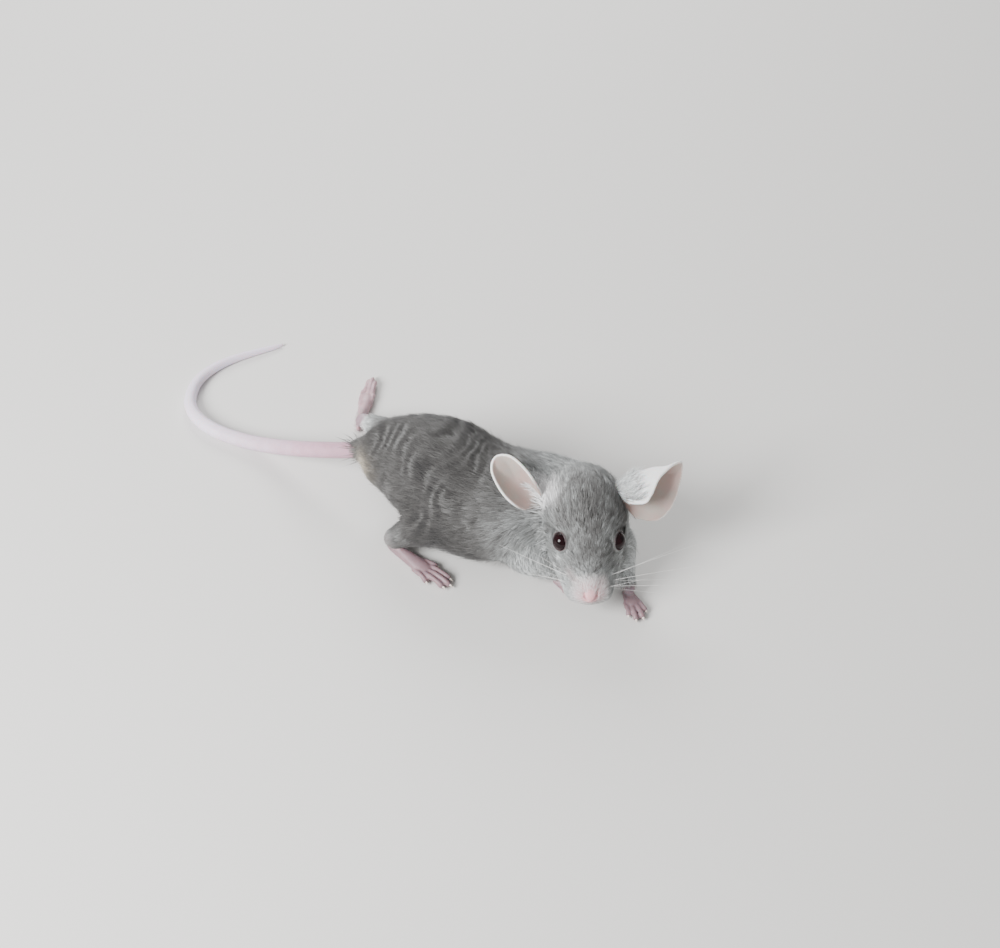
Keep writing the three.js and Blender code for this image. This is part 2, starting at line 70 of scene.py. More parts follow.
def in_head(x, y, z):
    """A point given in the head's frame: x to the nose, y to the mouse's left, z up."""
    return np.array(HEAD @ Vector((x, y, z)))


def moved(points, matrix):
    """The points, an array of rows, carried by a 4x4 matrix."""
    m = np.array(matrix)
    return points @ m[:3, :3].T + m[:3, 3]


# From the drawing frame to the row's frame, in mm, read from where the left eye's node is.
SHIFT = np.mean(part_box("eye_left"), axis=0) * 1000 - in_head(*EYE_PLACE)


def added(name, data):
    made = bpy.data.objects.new(name, data)
    bpy.context.scene.collection.objects.link(made)
    return made


def new_object(name, points, faces, material=None):
    """A smooth mesh object from points in mm of the drawing frame."""
    mesh = bpy.data.meshes.new(name)
    faces = np.asarray(faces, np.int32)
    mesh.vertices.add(len(points))
    mesh.vertices.foreach_set("co", ((points + SHIFT) / 1000).astype(np.float32).ravel())
    mesh.loops.add(faces.size)
    mesh.loops.foreach_set("vertex_index", faces.ravel())
    mesh.polygons.add(len(faces))
    mesh.polygons.foreach_set("loop_start", np.arange(0, faces.size, faces.shape[1], dtype=np.int32))
    mesh.update(calc_edges=True)
    mesh.shade_smooth()
    if material:
        mesh.materials.append(material)
    return added(name, mesh)


def new_piece(name, shape, material):
    """A shown piece of the mouse, from its points and faces."""
    piece = new_object(name, *shape, material)
    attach(piece, "root")
    return piece


def arrays_of(mesh):
    """A mesh's points, in mm of the drawing frame, and its faces, which all have as many corners."""
    co = np.empty(len(mesh.vertices) * 3, np.float32)
    mesh.vertices.foreach_get("co", co)
    index = np.empty(len(mesh.loops), np.int32)
    mesh.loops.foreach_get("vertex_index", index)
    return co.reshape(-1, 3).astype(float) * 1000 - SHIFT, index.reshape(len(mesh.polygons), -1)


def normalized(rows):
    return rows / np.maximum(np.linalg.norm(rows, axis=-1, keepdims=True), 1e-9)


def above(points, z):
    """The points, with none lower than z."""
    return np.maximum(points, (-np.inf, -np.inf, z))


def gap_to(points, place):
    return np.linalg.norm(points - np.array(place), axis=1)


def lengths_along(line):
    """How far along a line each of its points is."""
    return np.concatenate([[0], np.cumsum(np.linalg.norm(np.diff(line, axis=0), axis=1))])


def smoothstep(low, high, value):
    t = np.clip((value - low) / (high - low), 0, 1)
    return t * t * (3 - 2 * t)


def window(value, rise_from, rise_to, fall_from, fall_to):
    """Rises from 0 to 1 and falls back to 0."""
    return smoothstep(rise_from, rise_to, value) * smoothstep(fall_to, fall_from, value)


# ---- the flesh, out to the tips of the coat

# How the coat is in each place: how far its tips stand over the skin, a tuft's length and width,
# in mm, how many tufts grow on a square millimetre, and how pale it is, from 0 to 1.
COATS = {
    "nose": (0.04, 0.3, 0.05, 10, 0.85),
    "muzzle": (0.20, 0.9, 0.055, 70, 0.78),
    "face": (0.50, 1.8, 0.085, 56, 0.62),
    "crown": (0.80, 2.6, 0.11, 42, 0.55),
    "neck": (1.20, 3.4, 0.13, 34, 0.74),
    "back": (1.50, 3.8, 0.14, 31, 0.22),
    "belly": (1.20, 3.6, 0.15, 20, 0.26),
    "thigh": (1.20, 3.2, 0.13, 31, 0.19),
    "wrist": (0.30, 1.0, 0.07, 34, 0.60),
    "down": (0.12, 1.5, 0.065, 55, 0.82),
}
BARE_ANKLES = (2.2, 4.5, 2.0, 2.0)  # how far from its ankle or wrist each of the LIMBS is bare
TOWARDS_TAIL = 0.3  # how much the coat of a leg leans back as well as down the leg
COAT_BLEND = 1.2  # mm over which one coat turns into the next


# A ball or a bone of flesh: its distance field, how far it melts into the rest, its coat and how that lies.
Mass = namedtuple("Mass", "distance melt coat lie")


def ball(centre, radii, melt, coat, lie, matrix=None):
    inverse = (matrix or Matrix()).inverted()
    centre, radii = np.array(centre, float), np.array(radii, float)

    def distance(points):
        p = (moved(points, inverse) - centre) / radii
        near = np.linalg.norm(p, axis=1)
        return near * (near - 1) / np.maximum(np.linalg.norm(p / radii, axis=1), 1e-9)

    style = np.array(COATS[coat])
    return Mass(distance, melt, lambda points: style, lie)


def bone(start, end, start_radius, end_radius, melt, coats, lie):
    start, end = np.array(start, float), np.array(end, float)
    along = end - start

    def share(points):
        return np.clip((points - start) @ along / (along @ along), 0, 1)[:, None]

    def distance(points):
        s = share(points)
        radius = start_radius + (end_radius - start_radius) * s[:, 0]
        return np.linalg.norm(points - start - s * along, axis=1) - radius

    first, last = (np.array(COATS[coat]) for coat in coats)
    return Mass(distance, melt, lambda points: first + (last - first) * share(points), lie)


# Backbone from the tail's root to the nape, and how thick the body is there.
BACKBONE = [
    ((-24.6, 13.2, 14.5), 2.6),
    ((-16.4, 11.2, 14.5), 8.3),
    ((-11.2, 9, 14.5), 10.3),
    ((-6.9, 6.3, 14.2), 11.7),
    ((-1.8, 3.2, 13.6), 11.4),
    ((4.4, 1.1, 13), 10.5),
    ((9.4, 1.2, 12.6), 9.8),
    ((14.5, 1.2, 12.8), 8.8),
    ((20.5, -0.6, 13.8), 7.3),
]
SPINE = np.array([at for at, _ in BACKBONE])

# Each limb: root, middle joint and ankle or wrist, with the radius at each, and its coat at each.
LIMBS = [
    [((-10.2, 2.8, 12.7), 7.7, "thigh"), ((-8.8, -1.8, 8.7), 4.6, "thigh"), ((-17.4, -2.2, 4), 2.3, "wrist")],
    [((-11, 12, 13), 7.2, "thigh"), ((-13, 19.6, 8.6), 4.6, "thigh"), ((-26.2, 33, 3.3), 1.8, "wrist")],
    [((7.5, -4.2, 10.8), 7.2, "neck"), ((10.6, -7.6, 7.2), 5.2, "neck"), ((16.4, -11.2, 3), 1.6, "wrist")],
    [((21, -3, 12), 7, "neck"), ((27.6, -7, 7.6), 3.9, "neck"), ((30.4, -14.6, 3), 1.6, "wrist")],
]


def lie_constant(direction):
    direction = normalized(np.array(direction, float))
    return lambda points: np.broadcast_to(direction, points.shape)


def lie_from_nose(points):
    return normalized(points - in_head(27.5, 0, 0.6))


def trunk_masses():
    made = []
    for (start, start_radius), (end, end_radius) in zip(BACKBONE, BACKBONE[1:]):
        lie = lie_constant(np.subtract(start, end))
        coat = "back" if end[0] < 14 else "neck"
        made.append(bone(start, end, start_radius, end_radius, 1, (coat, coat), lie))
    made.append(ball((1.5, -1.5, 10.3), (13, 9.7, 8.9), 3, "belly", lie_constant((-1, 0.1, 0))))
    return made


def head_masses():
    def piece(centre, radii, melt, coat):
        return ball(centre, radii, melt, coat, lie_from_nose, HEAD)

    def both_sides(centre, *rest):
        return [piece((centre[0], side * centre[1], centre[2]), *rest) for side in (1, -1)]

    start, end = in_head(13.5, 0, -0.8), in_head(22, 0, -0.8)
    return [
        piece((7.4, 0, 1.4), (8.5, 8, 8), 3, "crown"),  # skull
        piece((4.2, 0, -2.5), (7.3, 7.6, 6.5), 3, "neck"),  # throat
        *both_sides((9.2, 3.8, -2.2), (7.8, 4.6, 5.3), 2.5, "crown"),  # cheeks
        *both_sides((16.4, 3.1, -2.1), (6, 3.6, 4), 2.2, "face"),  # jowls
        piece((13.4, 0, 1.9), (7.2, 5.6, 5.1), 2.5, "face"),  # brow
        bone(start, end, 5.3, 3.4, 2, ("face", "muzzle"), lie_from_nose),
        *both_sides((22, 2.3, -1.5), (3.4, 2.8, 2.7), 1.2, "muzzle"),  # whisker pads
        piece((24.2, 0, 0.2), (1.7, 1.5, 1.4), 1.2, "nose"),
        piece((23.7, 0, -2.4), (1.9, 2.6, 1.7), 1.2, "muzzle"),  # upper lip
        piece((20, 0, -4.2), (3.8, 2.7, 1.9), 1.4, "muzzle"),  # chin
    ]


def limb_masses():
    made = []
    for joints in LIMBS:
        for (start, r0, coat0), (end, r1, coat1) in zip(joints, joints[1:]):
            down = normalized(np.subtract(end, start)) + TOWARDS_TAIL * vec(-1, 0.2, 0)
            made.append(bone(start, end, r0, r1, 2.6, (coat0, coat1), lie_constant(down)))
    return made


MASSES = trunk_masses() + head_masses() + limb_masses()


def flesh(points):
    """Distance outside the tips of the coat, as the CAD solids have them; negative inside."""
    d = MASSES[0].distance(points)
    for mass in MASSES[1:]:
        following = mass.distance(points)
        overlap = np.maximum(mass.melt - np.abs(d - following), 0) / mass.melt
        d = np.minimum(d, following) - overlap * overlap * mass.melt / 4
    return d


def coat_at(points):
    """The coat's style and lie at each point: what its nearest masses have, blended."""
    distances = np.stack([mass.distance(points) for mass in MASSES])
    weights = np.exp(-(distances - distances.min(axis=0)) / COAT_BLEND)
    weights /= weights.sum(axis=0)
    style = sum(w[:, None] * mass.coat(points) for w, mass in zip(weights, MASSES))
    lie = sum(w[:, None] * mass.lie(points) for w, mass in zip(weights, MASSES))
    return style, lie


def settle(points, level, reach=0.05):
    """Moves points straight out or in until they are level mm outside the flesh."""
    for _ in range(2):
        here = flesh(points)
        slope = np.stack([(flesh(points + step) - here) / reach for step in np.eye(3) * reach], axis=1)
        step = (level - here) / np.maximum((slope * slope).sum(axis=1), 0.3)
        points = points + slope * np.clip(step, -1.5, 1.5)[:, None]
    return points


# ---- pieces that join the skin


def ear_curves(tip, **curves):
    return {name: [*knots, tip] for name, knots in curves.items()}


# Each ear's leaf is spread between three curves from its root to its tip: the rim by the crown, the
# ridge along the ear's back, and the outer rim.
RIGHT_EAR = ear_curves(
    tip=(3.4, -1.1, 27.3),
    inner=[(13.2, -5, 18.5), (11.4, -5.2, 23.7), (9.2, -3.8, 26.7), (6.3, -1.6, 28)],
    ridge=[(12.9, -5.3, 18.1), (10.5, -3.5, 20.1), (7.9, -2.5, 22.5), (5.5, -1.8, 25)],
    outer=[(11.6, -6.7, 16.7), (7.7, -7.7, 19.7), (4.7, -6.4, 22.4), (2.6, -3.5, 25.6)],
)
LEFT_EAR = ear_curves(
    tip=(40.3, -0.7, 25.4),
    inner=[(27, -6.4, 19.6), (32.4, -8.4, 21.3), (34.1, -7.7, 23), (36, -4.6, 25.1)],
    ridge=[(26.4, -3.4, 20.5), (30.5, -2.1, 23), (33.5, -1.7, 24), (36.8, -1.2, 24.8)],
    outer=[(27.9, -6.8, 16.9), (34.8, -7.9, 15.7), (38.2, -6, 16.9), (40.1, -3.1, 20.5)],
)
EARS = [RIGHT_EAR, LEFT_EAR]
RIDGE_SHARE = 0.42  # how far from the inner rim to the outer one the ridge lies


def spline(knots, shares):
    """Points on a smooth curve that passes its knots at even steps of the shares."""
    knots = np.array(knots, float)
    padded = np.concatenate([[2 * knots[0] - knots[1]], knots, [2 * knots[-1] - knots[-2]]])
    place = np.clip(shares, 0, 1) * (len(knots) - 1)
    index = np.minimum(place.astype(int), len(knots) - 2)
    t = (place - index)[..., None]
    a, b, c, d = (padded[index + step] for step in range(4))
    return 0.5 * (2 * b + (c - a) * t + (2 * a - 5 * b + 4 * c - d) * t**2 + (3 * b - a - 3 * c + d) * t**3)


def ear_rim(ear, shares):
    return spline(ear["inner"] + ear["outer"][-2::-1], shares)


def ear_leaf(ear, share, across):
    """The ear's middle sheet; share goes from root to tip, across from -1 at the inner rim to 1."""
    inner, outer, ridge = ear_rim(ear, share / 2), ear_rim(ear, 1 - share / 2), spline(ear["ridge"], share)
    r, t = RIDGE_SHARE, ((across + 1) / 2)[..., None]
    bend = (ridge - (1 - r) ** 2 * inner - r**2 * outer) / (2 * r * (1 - r))
    return (1 - t) ** 2 * inner + 2 * t * (1 - t) * bend + t**2 * outer


def ear_facing(ear, share, across):
    """Which way the hollow's surface faces."""
    along = ear_leaf(ear, np.minimum(share + 0.01, 0.999), across) - ear_leaf(ear, share - 0.01, across)
    aside = ear_leaf(ear, share, across + 0.02) - ear_leaf(ear, share, across - 0.02)
    return normalized(np.cross(aside, along)) * ear_hand(ear)


def ear_hand(ear):
    """1 or -1: the turn from across to along that faces out of the hollow."""
    inner, ridge, outer = (np.array(ear[curve]) for curve in ("inner", "ridge", "outer"))
    out = (inner[2] + outer[2]) / 2 - ridge[2]
    return np.sign(np.cross(outer[2] - inner[2], ridge[3] - ridge[1]) @ out)


def ring_quads(rows, sides):
    """Quads between rings of points, each with as many sides."""
    base = np.arange(rows - 1)[:, None] * sides
    a, b = ((base + (np.arange(sides) + step) % sides).ravel() for step in (0, 1))
    return np.stack([a, b, b + sides, a + sides], axis=1)


def capped(rings, start, end):
    """Rings of points, joined and closed by a fan to a point at each end: points, quads and triangles."""
    rows, sides = rings.shape[:2]
    side, base = np.arange(sides), (rows - 1) * sides
    following = (side + 1) % sides
    first = np.stack([following, side, np.full(sides, rows * sides)], axis=1)
    last = np.stack([base + side, base + following, np.full(sides, rows * sides + 1)], axis=1)
    points = np.concatenate([rings.reshape(-1, 3), [start, end]])
    return points, ring_quads(rows, sides), np.concatenate([first, last])


def ear_mesh(ear, turns=96, rings=24, thickness=0.6):
    """The ear's leaf as one closed sheet: its front, the rim, and its back."""
    turn = (np.arange(turns) + 0.5) / turns * 2 * math.pi
    along = 0.5 - 0.5 * np.cos(turn)
    side = np.where(along < 0.5, np.clip(1.6 * np.sin(turn), -1, 1), np.sign(np.sin(turn)))
    out = np.concatenate([np.linspace(0.02, 1, rings), np.linspace(1, 0.02, rings)])[:, None]
    share, across = 0.5 + (along - 0.5) * out, side * out
    sheet = np.where(np.arange(2 * rings) < rings, 1, -1)[:, None] * np.where(out > 0.995, 0.75, 1) / 2
    points = ear_leaf(ear, share, across) + ear_facing(ear, share, across) * (sheet * thickness)[..., None]
    made = capped(points, points[0].mean(axis=0), points[-1].mean(axis=0))
    return made if ear_hand(ear) > 0 else inside_out(made)


def inside_out(made):
    points, quads, caps = made
    return points, quads[:, ::-1], caps[:, ::-1]


def triangulated(points, quads, caps=()):
    """The points, and the quads cut in two together with the triangles."""
    halves = [quads[:, [0, 1, 2]], quads[:, [0, 2, 3]]]
    return points, np.concatenate([*halves, caps] if len(caps) else halves)


# The lids stand round the eye like a collar: distance from the eye's axis, and height over its centre.
LID_PROFILE = [(1.2, -1.0), (1.6, 0.6), (1.68, 0.95), (1.77, 1.07), (1.9, 1.02), (2.2, 0.55), (2.8, -0.5)]
EYE_AXIS = (0.3, 0.76, 0.56)  # which way an eye looks, in the head's frame


def eye_frame(side):
    """z out of the eye, x towards the nose; side is 1 for the left eye and -1 for the right."""
    z = Vector((EYE_AXIS[0], side * EYE_AXIS[1], EYE_AXIS[2])).normalized()
    x = (Vector((1, 0, 0)) - z * z.x).normalized()
    turn = Matrix((x, z.cross(x), z)).transposed().to_4x4()
    return HEAD @ Matrix.Translation((EYE_PLACE[0], side * EYE_PLACE[1], EYE_PLACE[2])) @ turn


def lid_mesh(side, sides=72):
    turn = np.arange(sides) / sides * 2 * math.pi
    corner = 1 + 0.05 * np.cos(2 * turn)
    profile = np.array(LID_PROFILE + LID_PROFILE[:1])
    x = profile[:, :1] * corner * np.cos(turn)
    y = profile[:, :1] * corner * np.sin(turn)
    z = np.broadcast_to(profile[:, 1:], x.shape) - 0.1 * np.cos(2 * turn)
    points = np.stack([x, y, z], axis=-1)[:-1].reshape(-1, 3)
    quads = ring_quads(len(profile), sides) % len(points)
    return moved(points, eye_frame(side)), quads


def even_curve(knots, shares):
    """Points on a smooth curve through the knots, at even shares of its length."""
    even = np.linspace(0, 1, 24 * len(knots))
    fine = spline(knots, even)
    length = lengths_along(fine)
    return spline(knots, np.interp(np.asarray(shares) * length[-1], length, even))


def tube(centres, widths, heights=None, sides=16, up=(0, 0, 1)):
    """A closed tube round a line of centres, as points, quads and end triangles."""
    heights = widths if heights is None else heights
    along = normalized(np.gradient(centres, axis=0))
    aside = normalized(np.cross(np.array(up, float), along))
    lift = np.cross(along, aside)
    turn = np.arange(sides) / sides * 2 * math.pi
    rings = (
        centres[:, None]
        + aside[:, None] * (np.cos(turn)[None, :, None] * widths[:, None, None])
        + lift[:, None] * (np.sin(turn)[None, :, None] * heights[:, None, None])
    )
    return capped(rings, centres[0], centres[-1])


TAIL_KNOTS = [
    (-19.6, 11.2, 14.4),
    (-23.6, 12.6, 14.6),
    (-31.6, 16.8, 10.46),
    (-38.6, 20.8, 6.65),
    (-45.8, 25, 3.25),
    (-52.9, 28.4, 1.69),
    (-59.6, 32, 1.51),
    (-64.1, 36.7, 1.42),
    (-65.6, 42, 1.32),
    (-64, 48.8, 1.17),
    (-58, 54.8, 0.94),
    (-46.2, 60.6, 0.5),
]
TAIL_ROOT_RADIUS, TAIL_TIP_RADIUS, TAIL_LENGTH = 1.75, 0.5, 82


def tail_line():
    """Points along the middle of the tail, and its radius at each."""
    share = np.linspace(0, 1, 260)
    radius = TAIL_ROOT_RADIUS + (TAIL_TIP_RADIUS - TAIL_ROOT_RADIUS) * share**2.9
    radius = radius * np.sqrt(np.clip(1 - np.maximum((share - 0.97) / 0.03, 0) ** 2, 0.05, 1))
    return even_curve(TAIL_KNOTS, share), radius


def tail_mesh():
    return tube(*tail_line(), sides=20)


# Toes from the inner to the outer side: where each leaves the palm, where it ends, and its radius.
HIND_TOES = [
    ((7.6, 1.5), (10.6, 3.4), 0.58),
    ((9.8, 1.3), (14.9, 2.1), 0.62),
    ((10.2, 0.1), (16, 0.3), 0.64),
    ((9.9, -1.1), (15.2, -1.6), 0.62),
    ((8, -1.7), (11.6, -3.5), 0.56),
]
FORE_TOES = [
    ((2.8, 1.2), (5.1, 2.5), 0.5),
    ((3.4, 0.5), (6.7, 1.2), 0.52),
    ((3.4, -0.5), (6.7, -0.7), 0.52),
    ((2.8, -1.2), (5.2, -2.3), 0.48),
]
# Each palm: where it starts and ends, its half width there, and its half height.
HIND_PALM = (-1.4, 10.4, 1.15, 2.1, 1.5, 1.0)
FORE_PALM = (-1.6, 3.6, 1.0, 1.65, 1.25, 0.9)
HIND_SCALE, FORE_SCALE = 16.5 / 16, 7 / 6.7
# Where each foot's ankle is, which way it points, how far its toes spread, and how slim it is.
FEET = {
    "hind_foot_right": dict(at=(-18, -2.2), heading=-40, mirror=1, spread=0.8, slim=0.85, hind=True),
    "hind_foot_left": dict(at=(-27, 33.2), heading=82, mirror=-1, spread=0.5, slim=0.75, hind=True),
    "forepaw_right": dict(at=(16.6, -11.4), heading=-36, mirror=1, spread=0.8, slim=1, hind=False),
    "forepaw_left": dict(at=(30.3, -14.6), heading=-70, mirror=-1, spread=0.8, slim=1, hind=False),
}
CLAW_SHARE = 0.16  # of a toe's length


def foot_frame(foot):
    scale = HIND_SCALE if foot["hind"] else FORE_SCALE
    turn = Matrix.Rotation(math.radians(foot["heading"]), 4, "Z")
    size = Matrix.Diagonal((scale, scale * foot["mirror"] * foot["slim"], scale, 1))
    return Matrix.Translation((*foot["at"], 0)) @ turn @ size


def toe_path(toe, spread, shares):
    (x0, y0), (x1, y1), radius = toe

    def place(share, up):
        return (x0 + (x1 - x0) * share, y0 + (y1 * spread - y0) * share, up * radius)

    knots = [(x0 - 1.2, y0, radius * 1.4), place(0.45, 2.1), place(0.85, 1.05), place(1, 0.6)]
    return even_curve(knots, shares)


def toe_mesh(toe, spread):
    """A toe with two knuckles and a pad, up to where its claw starts."""
    share = np.linspace(0, 1, 24)
    centres = toe_path(toe, spread, share * (1 - CLAW_SHARE * 0.6))
    knuckles = 1 + 0.10 * np.cos((share - 0.35) * 4 * math.pi) * smoothstep(0.1, 0.3, share)
    tip = np.sqrt(np.clip(1 - np.maximum((share - 0.88) / 0.12, 0) ** 2, 0.08, 1))
    return tube(centres, toe[2] * knuckles * tip, sides=12)


def palm_mesh(hind):
    """The foot behind the toes, from heel to front."""
    share = np.linspace(0, 1, 40)
    dome = np.sqrt(np.maximum(1 - np.abs(2 * share - 1) ** 5, 0.12))
    heel, front, heel_width, front_width, heel_height, front_height = HIND_PALM if hind else FORE_PALM
    height = heel_height + (front_height - heel_height) * share
    centres = np.stack([heel + (front - heel) * share, 0 * share, height - 0.12], 1)
    widths = (heel_width + (front_width - heel_width) * smoothstep(0.1, 0.9, share)) * dome
    return tube(centres, widths, height * dome, sides=20)


def foot_meshes(foot):
    toes = HIND_TOES if foot["hind"] else FORE_TOES
    for points, quads, caps in [palm_mesh(foot["hind"])] + [toe_mesh(toe, foot["spread"]) for toe in toes]:
        made = above(moved(points, foot_frame(foot)), 0), quads, caps
        yield inside_out(made) if foot["mirror"] < 0 else made


# ---- the skin


def nodes_named(*starts):
    return [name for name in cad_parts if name.startswith(starts)]


FLESH_NODES = nodes_named("head", "neck", "trunk", "forearm", "upper_arm", "hind_shank", "hind_thigh")
BARE_NODES = nodes_named("ear", "tail", "hind_foot", "forepaw")
FLESH_VOXEL, VOXEL = 0.45, 0.21  # mm
SKIN_TRIANGLES = 185000


def shaped(name, points, faces, kind, **settings):
    """The points and faces of a mesh after one modifier."""
    raw = new_object(name, points, faces)
    modifier = raw.modifiers.new("change", kind)
    for setting, value in settings.items():
        setattr(modifier, setting, value)
    evaluated = raw.evaluated_get(bpy.context.evaluated_depsgraph_get())
    made = arrays_of(evaluated.to_mesh())
    evaluated.to_mesh_clear()
    bpy.data.objects.remove(raw)
    return made


def remeshed(name, points, faces, voxel):
    """The outer surface of overlapping closed meshes, as points and quads."""
    return shaped(name, points, faces, "REMESH", mode="VOXEL", voxel_size=voxel / 1000)


def edges_of(faces):
    corners = faces.shape[1]
    sides = np.concatenate([faces[:, [i, (i + 1) % corners]] for i in range(corners)])
    return np.unique(np.sort(sides, axis=1), axis=0)


def neighbour_mean(values, edges):
    count = len(values)
    total = np.zeros(values.shape)
    for a, b in ((0, 1), (1, 0)):
        for column in range(values.shape[1]):
            total[:, column] += np.bincount(edges[:, a], values[edges[:, b], column], count)
    degree = np.bincount(edges.ravel(), minlength=count)[:, None]
    return total / np.maximum(degree, 1)


def relaxed(points, edges, rounds):
    """Smooths without shrinking: a step in, then a slightly longer one out."""
    for _ in range(rounds):
        for amount in (0.5, -0.53):
            points = points + amount * (neighbour_mean(points, edges) - points)
    return points


def normals_of(points, faces):
    corners = points[faces]
    normal = np.cross(corners[:, 1] - corners[:, 0], corners[:, 2] - corners[:, 0])
    total = np.zeros_like(points)
    for corner in range(faces.shape[1]):
        for axis in range(3):
            total[:, axis] += np.bincount(faces[:, corner], normal[:, axis], len(points))
    return normalized(total)


def joined(pieces):
    points, faces, start = [], [], 0
    for piece_points, piece_faces in pieces:
        points.append(piece_points)
        faces.append(piece_faces + start)
        start += len(piece_points)
    return np.concatenate(points), np.concatenate(faces)


def cad_flesh(swelling=0.3):
    """The flesh nodes, each swollen a little so that they run into each other."""
    pieces = []
    for name in FLESH_NODES:
        points, faces = arrays_of(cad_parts[name].data)
        _, first, same = np.unique(np.round(points, 2), axis=0, return_index=True, return_inverse=True)
        points, faces = points[first], same.ravel()[faces]
        pieces.append((points + swelling * normals_of(points, faces), faces))
    return joined(pieces)


def flesh_surface():
    points, quads = remeshed("flesh", *cad_flesh(), FLESH_VOXEL)
    edges = edges_of(quads)
    points = relaxed(points, edges, 6)
    for _ in range(2):
        points = settle(points, -coat_at(points)[0][:, 0])
        points = relaxed(points, edges, 1)
    return triangulated(points, quads)


# Creases in the face, in the head's frame on the mouse's left side: how wide and how deep each is,
# and the line that it follows.
CREASES = [
    (0.26, 0.55, [(26.0, 0.5, 0.2), (25.5, 1.0, 0.5), (24.9, 1.3, 0.9), (24.4, 1.35, 1.3)]),  # nostril
    (0.20, 0.30, [(26.3, 0, -0.6), (25.6, 0, -1.8), (24.6, 0, -3.2)]),  # lip's middle
    (0.26, 0.50, [(24.8, 0, -3.4), (23.4, 1.7, -4.4), (20.8, 3.2, -4.6), (18.2, 4.0, -4.2)]),  # mouth
    (0.34, 0.22, [(24.1, 1.6, 1.6), (22.9, 1.9, 2.0), (21.6, 2.3, 2.2)]),  # beside the nose
]


def crease_lines():
    """Each crease on both sides, as its width, its depth and points close together along it."""
    for width, depth, knots in CREASES:
        for side in (1, -1):
            line = even_curve([in_head(x, side * y, z) for x, y, z in knots], np.linspace(0, 1, 24))
            yield width, depth, line


def distance_to(points, line):
    """How far each point is from the nearest of a line's points, and which one that is."""
    gaps = np.linalg.norm(points[:, None] - line[None], axis=2)
    return gaps.min(axis=1), gaps.argmin(axis=1)


def nearest_of(points, centres):
    tree = KDTree(len(centres))
    for index, centre in enumerate(centres):
        tree.insert(centre, index)
    tree.balance()
    return np.array([tree.find(point)[1] for point in points])


def creased(points, normal):
    near = np.flatnonzero(gap_to(points, in_head(22, 0, -1)) < 8)
    sunk = np.zeros(len(points))
    for width, depth, line in crease_lines():
        gap, _ = distance_to(points[near], line)
        sunk[near] = np.maximum(sunk[near], depth * np.exp(-((gap / width) ** 2)))
    return points - normal * sunk[:, None], sunk


def skin_surface():
    pieces = [flesh_surface()]
    parts = [ear_mesh(ear) for ear in EARS] + [lid_mesh(1), lid_mesh(-1), tail_mesh()]
    for foot in FEET.values():
        parts += foot_meshes(foot)
    pieces += [triangulated(*part) for part in parts]
    points, quads = remeshed("union", *joined(pieces), VOXEL)
    points = relaxed(points, edges_of(quads), 3)
    points, _ = creased(points, normals_of(points, quads))
    ratio = SKIN_TRIANGLES / (2 * len(quads))
    points, faces = shaped("skin_fine", points, quads, "DECIMATE", ratio=ratio, use_collapse_triangulate=True)
    return above(points, 0), faces


# ---- what grows where on the skin


def leaf_grid(first, last, rows, edge, columns):
    """Places spread over an ear's leaf: their shares from root to tip, and how far across."""
    grid = np.meshgrid(np.linspace(first, last, rows), np.linspace(-edge, edge, columns))
    return [values.ravel() for values in grid]


def before_leaf(points, ear, share, across, reach):
    """Which points are near some places of an ear, how far from them, and how far before the hollow."""
    leaf = ear_leaf(ear, share, across)
    beside = np.flatnonzero(gap_to(points, leaf.mean(axis=0)) < reach)
    nearest = nearest_of(points[beside], leaf)
    away = points[beside] - leaf[nearest]
    ahead = (away * ear_facing(ear, share, across)[nearest]).sum(axis=1)
    return beside, np.linalg.norm(away, axis=1), ahead


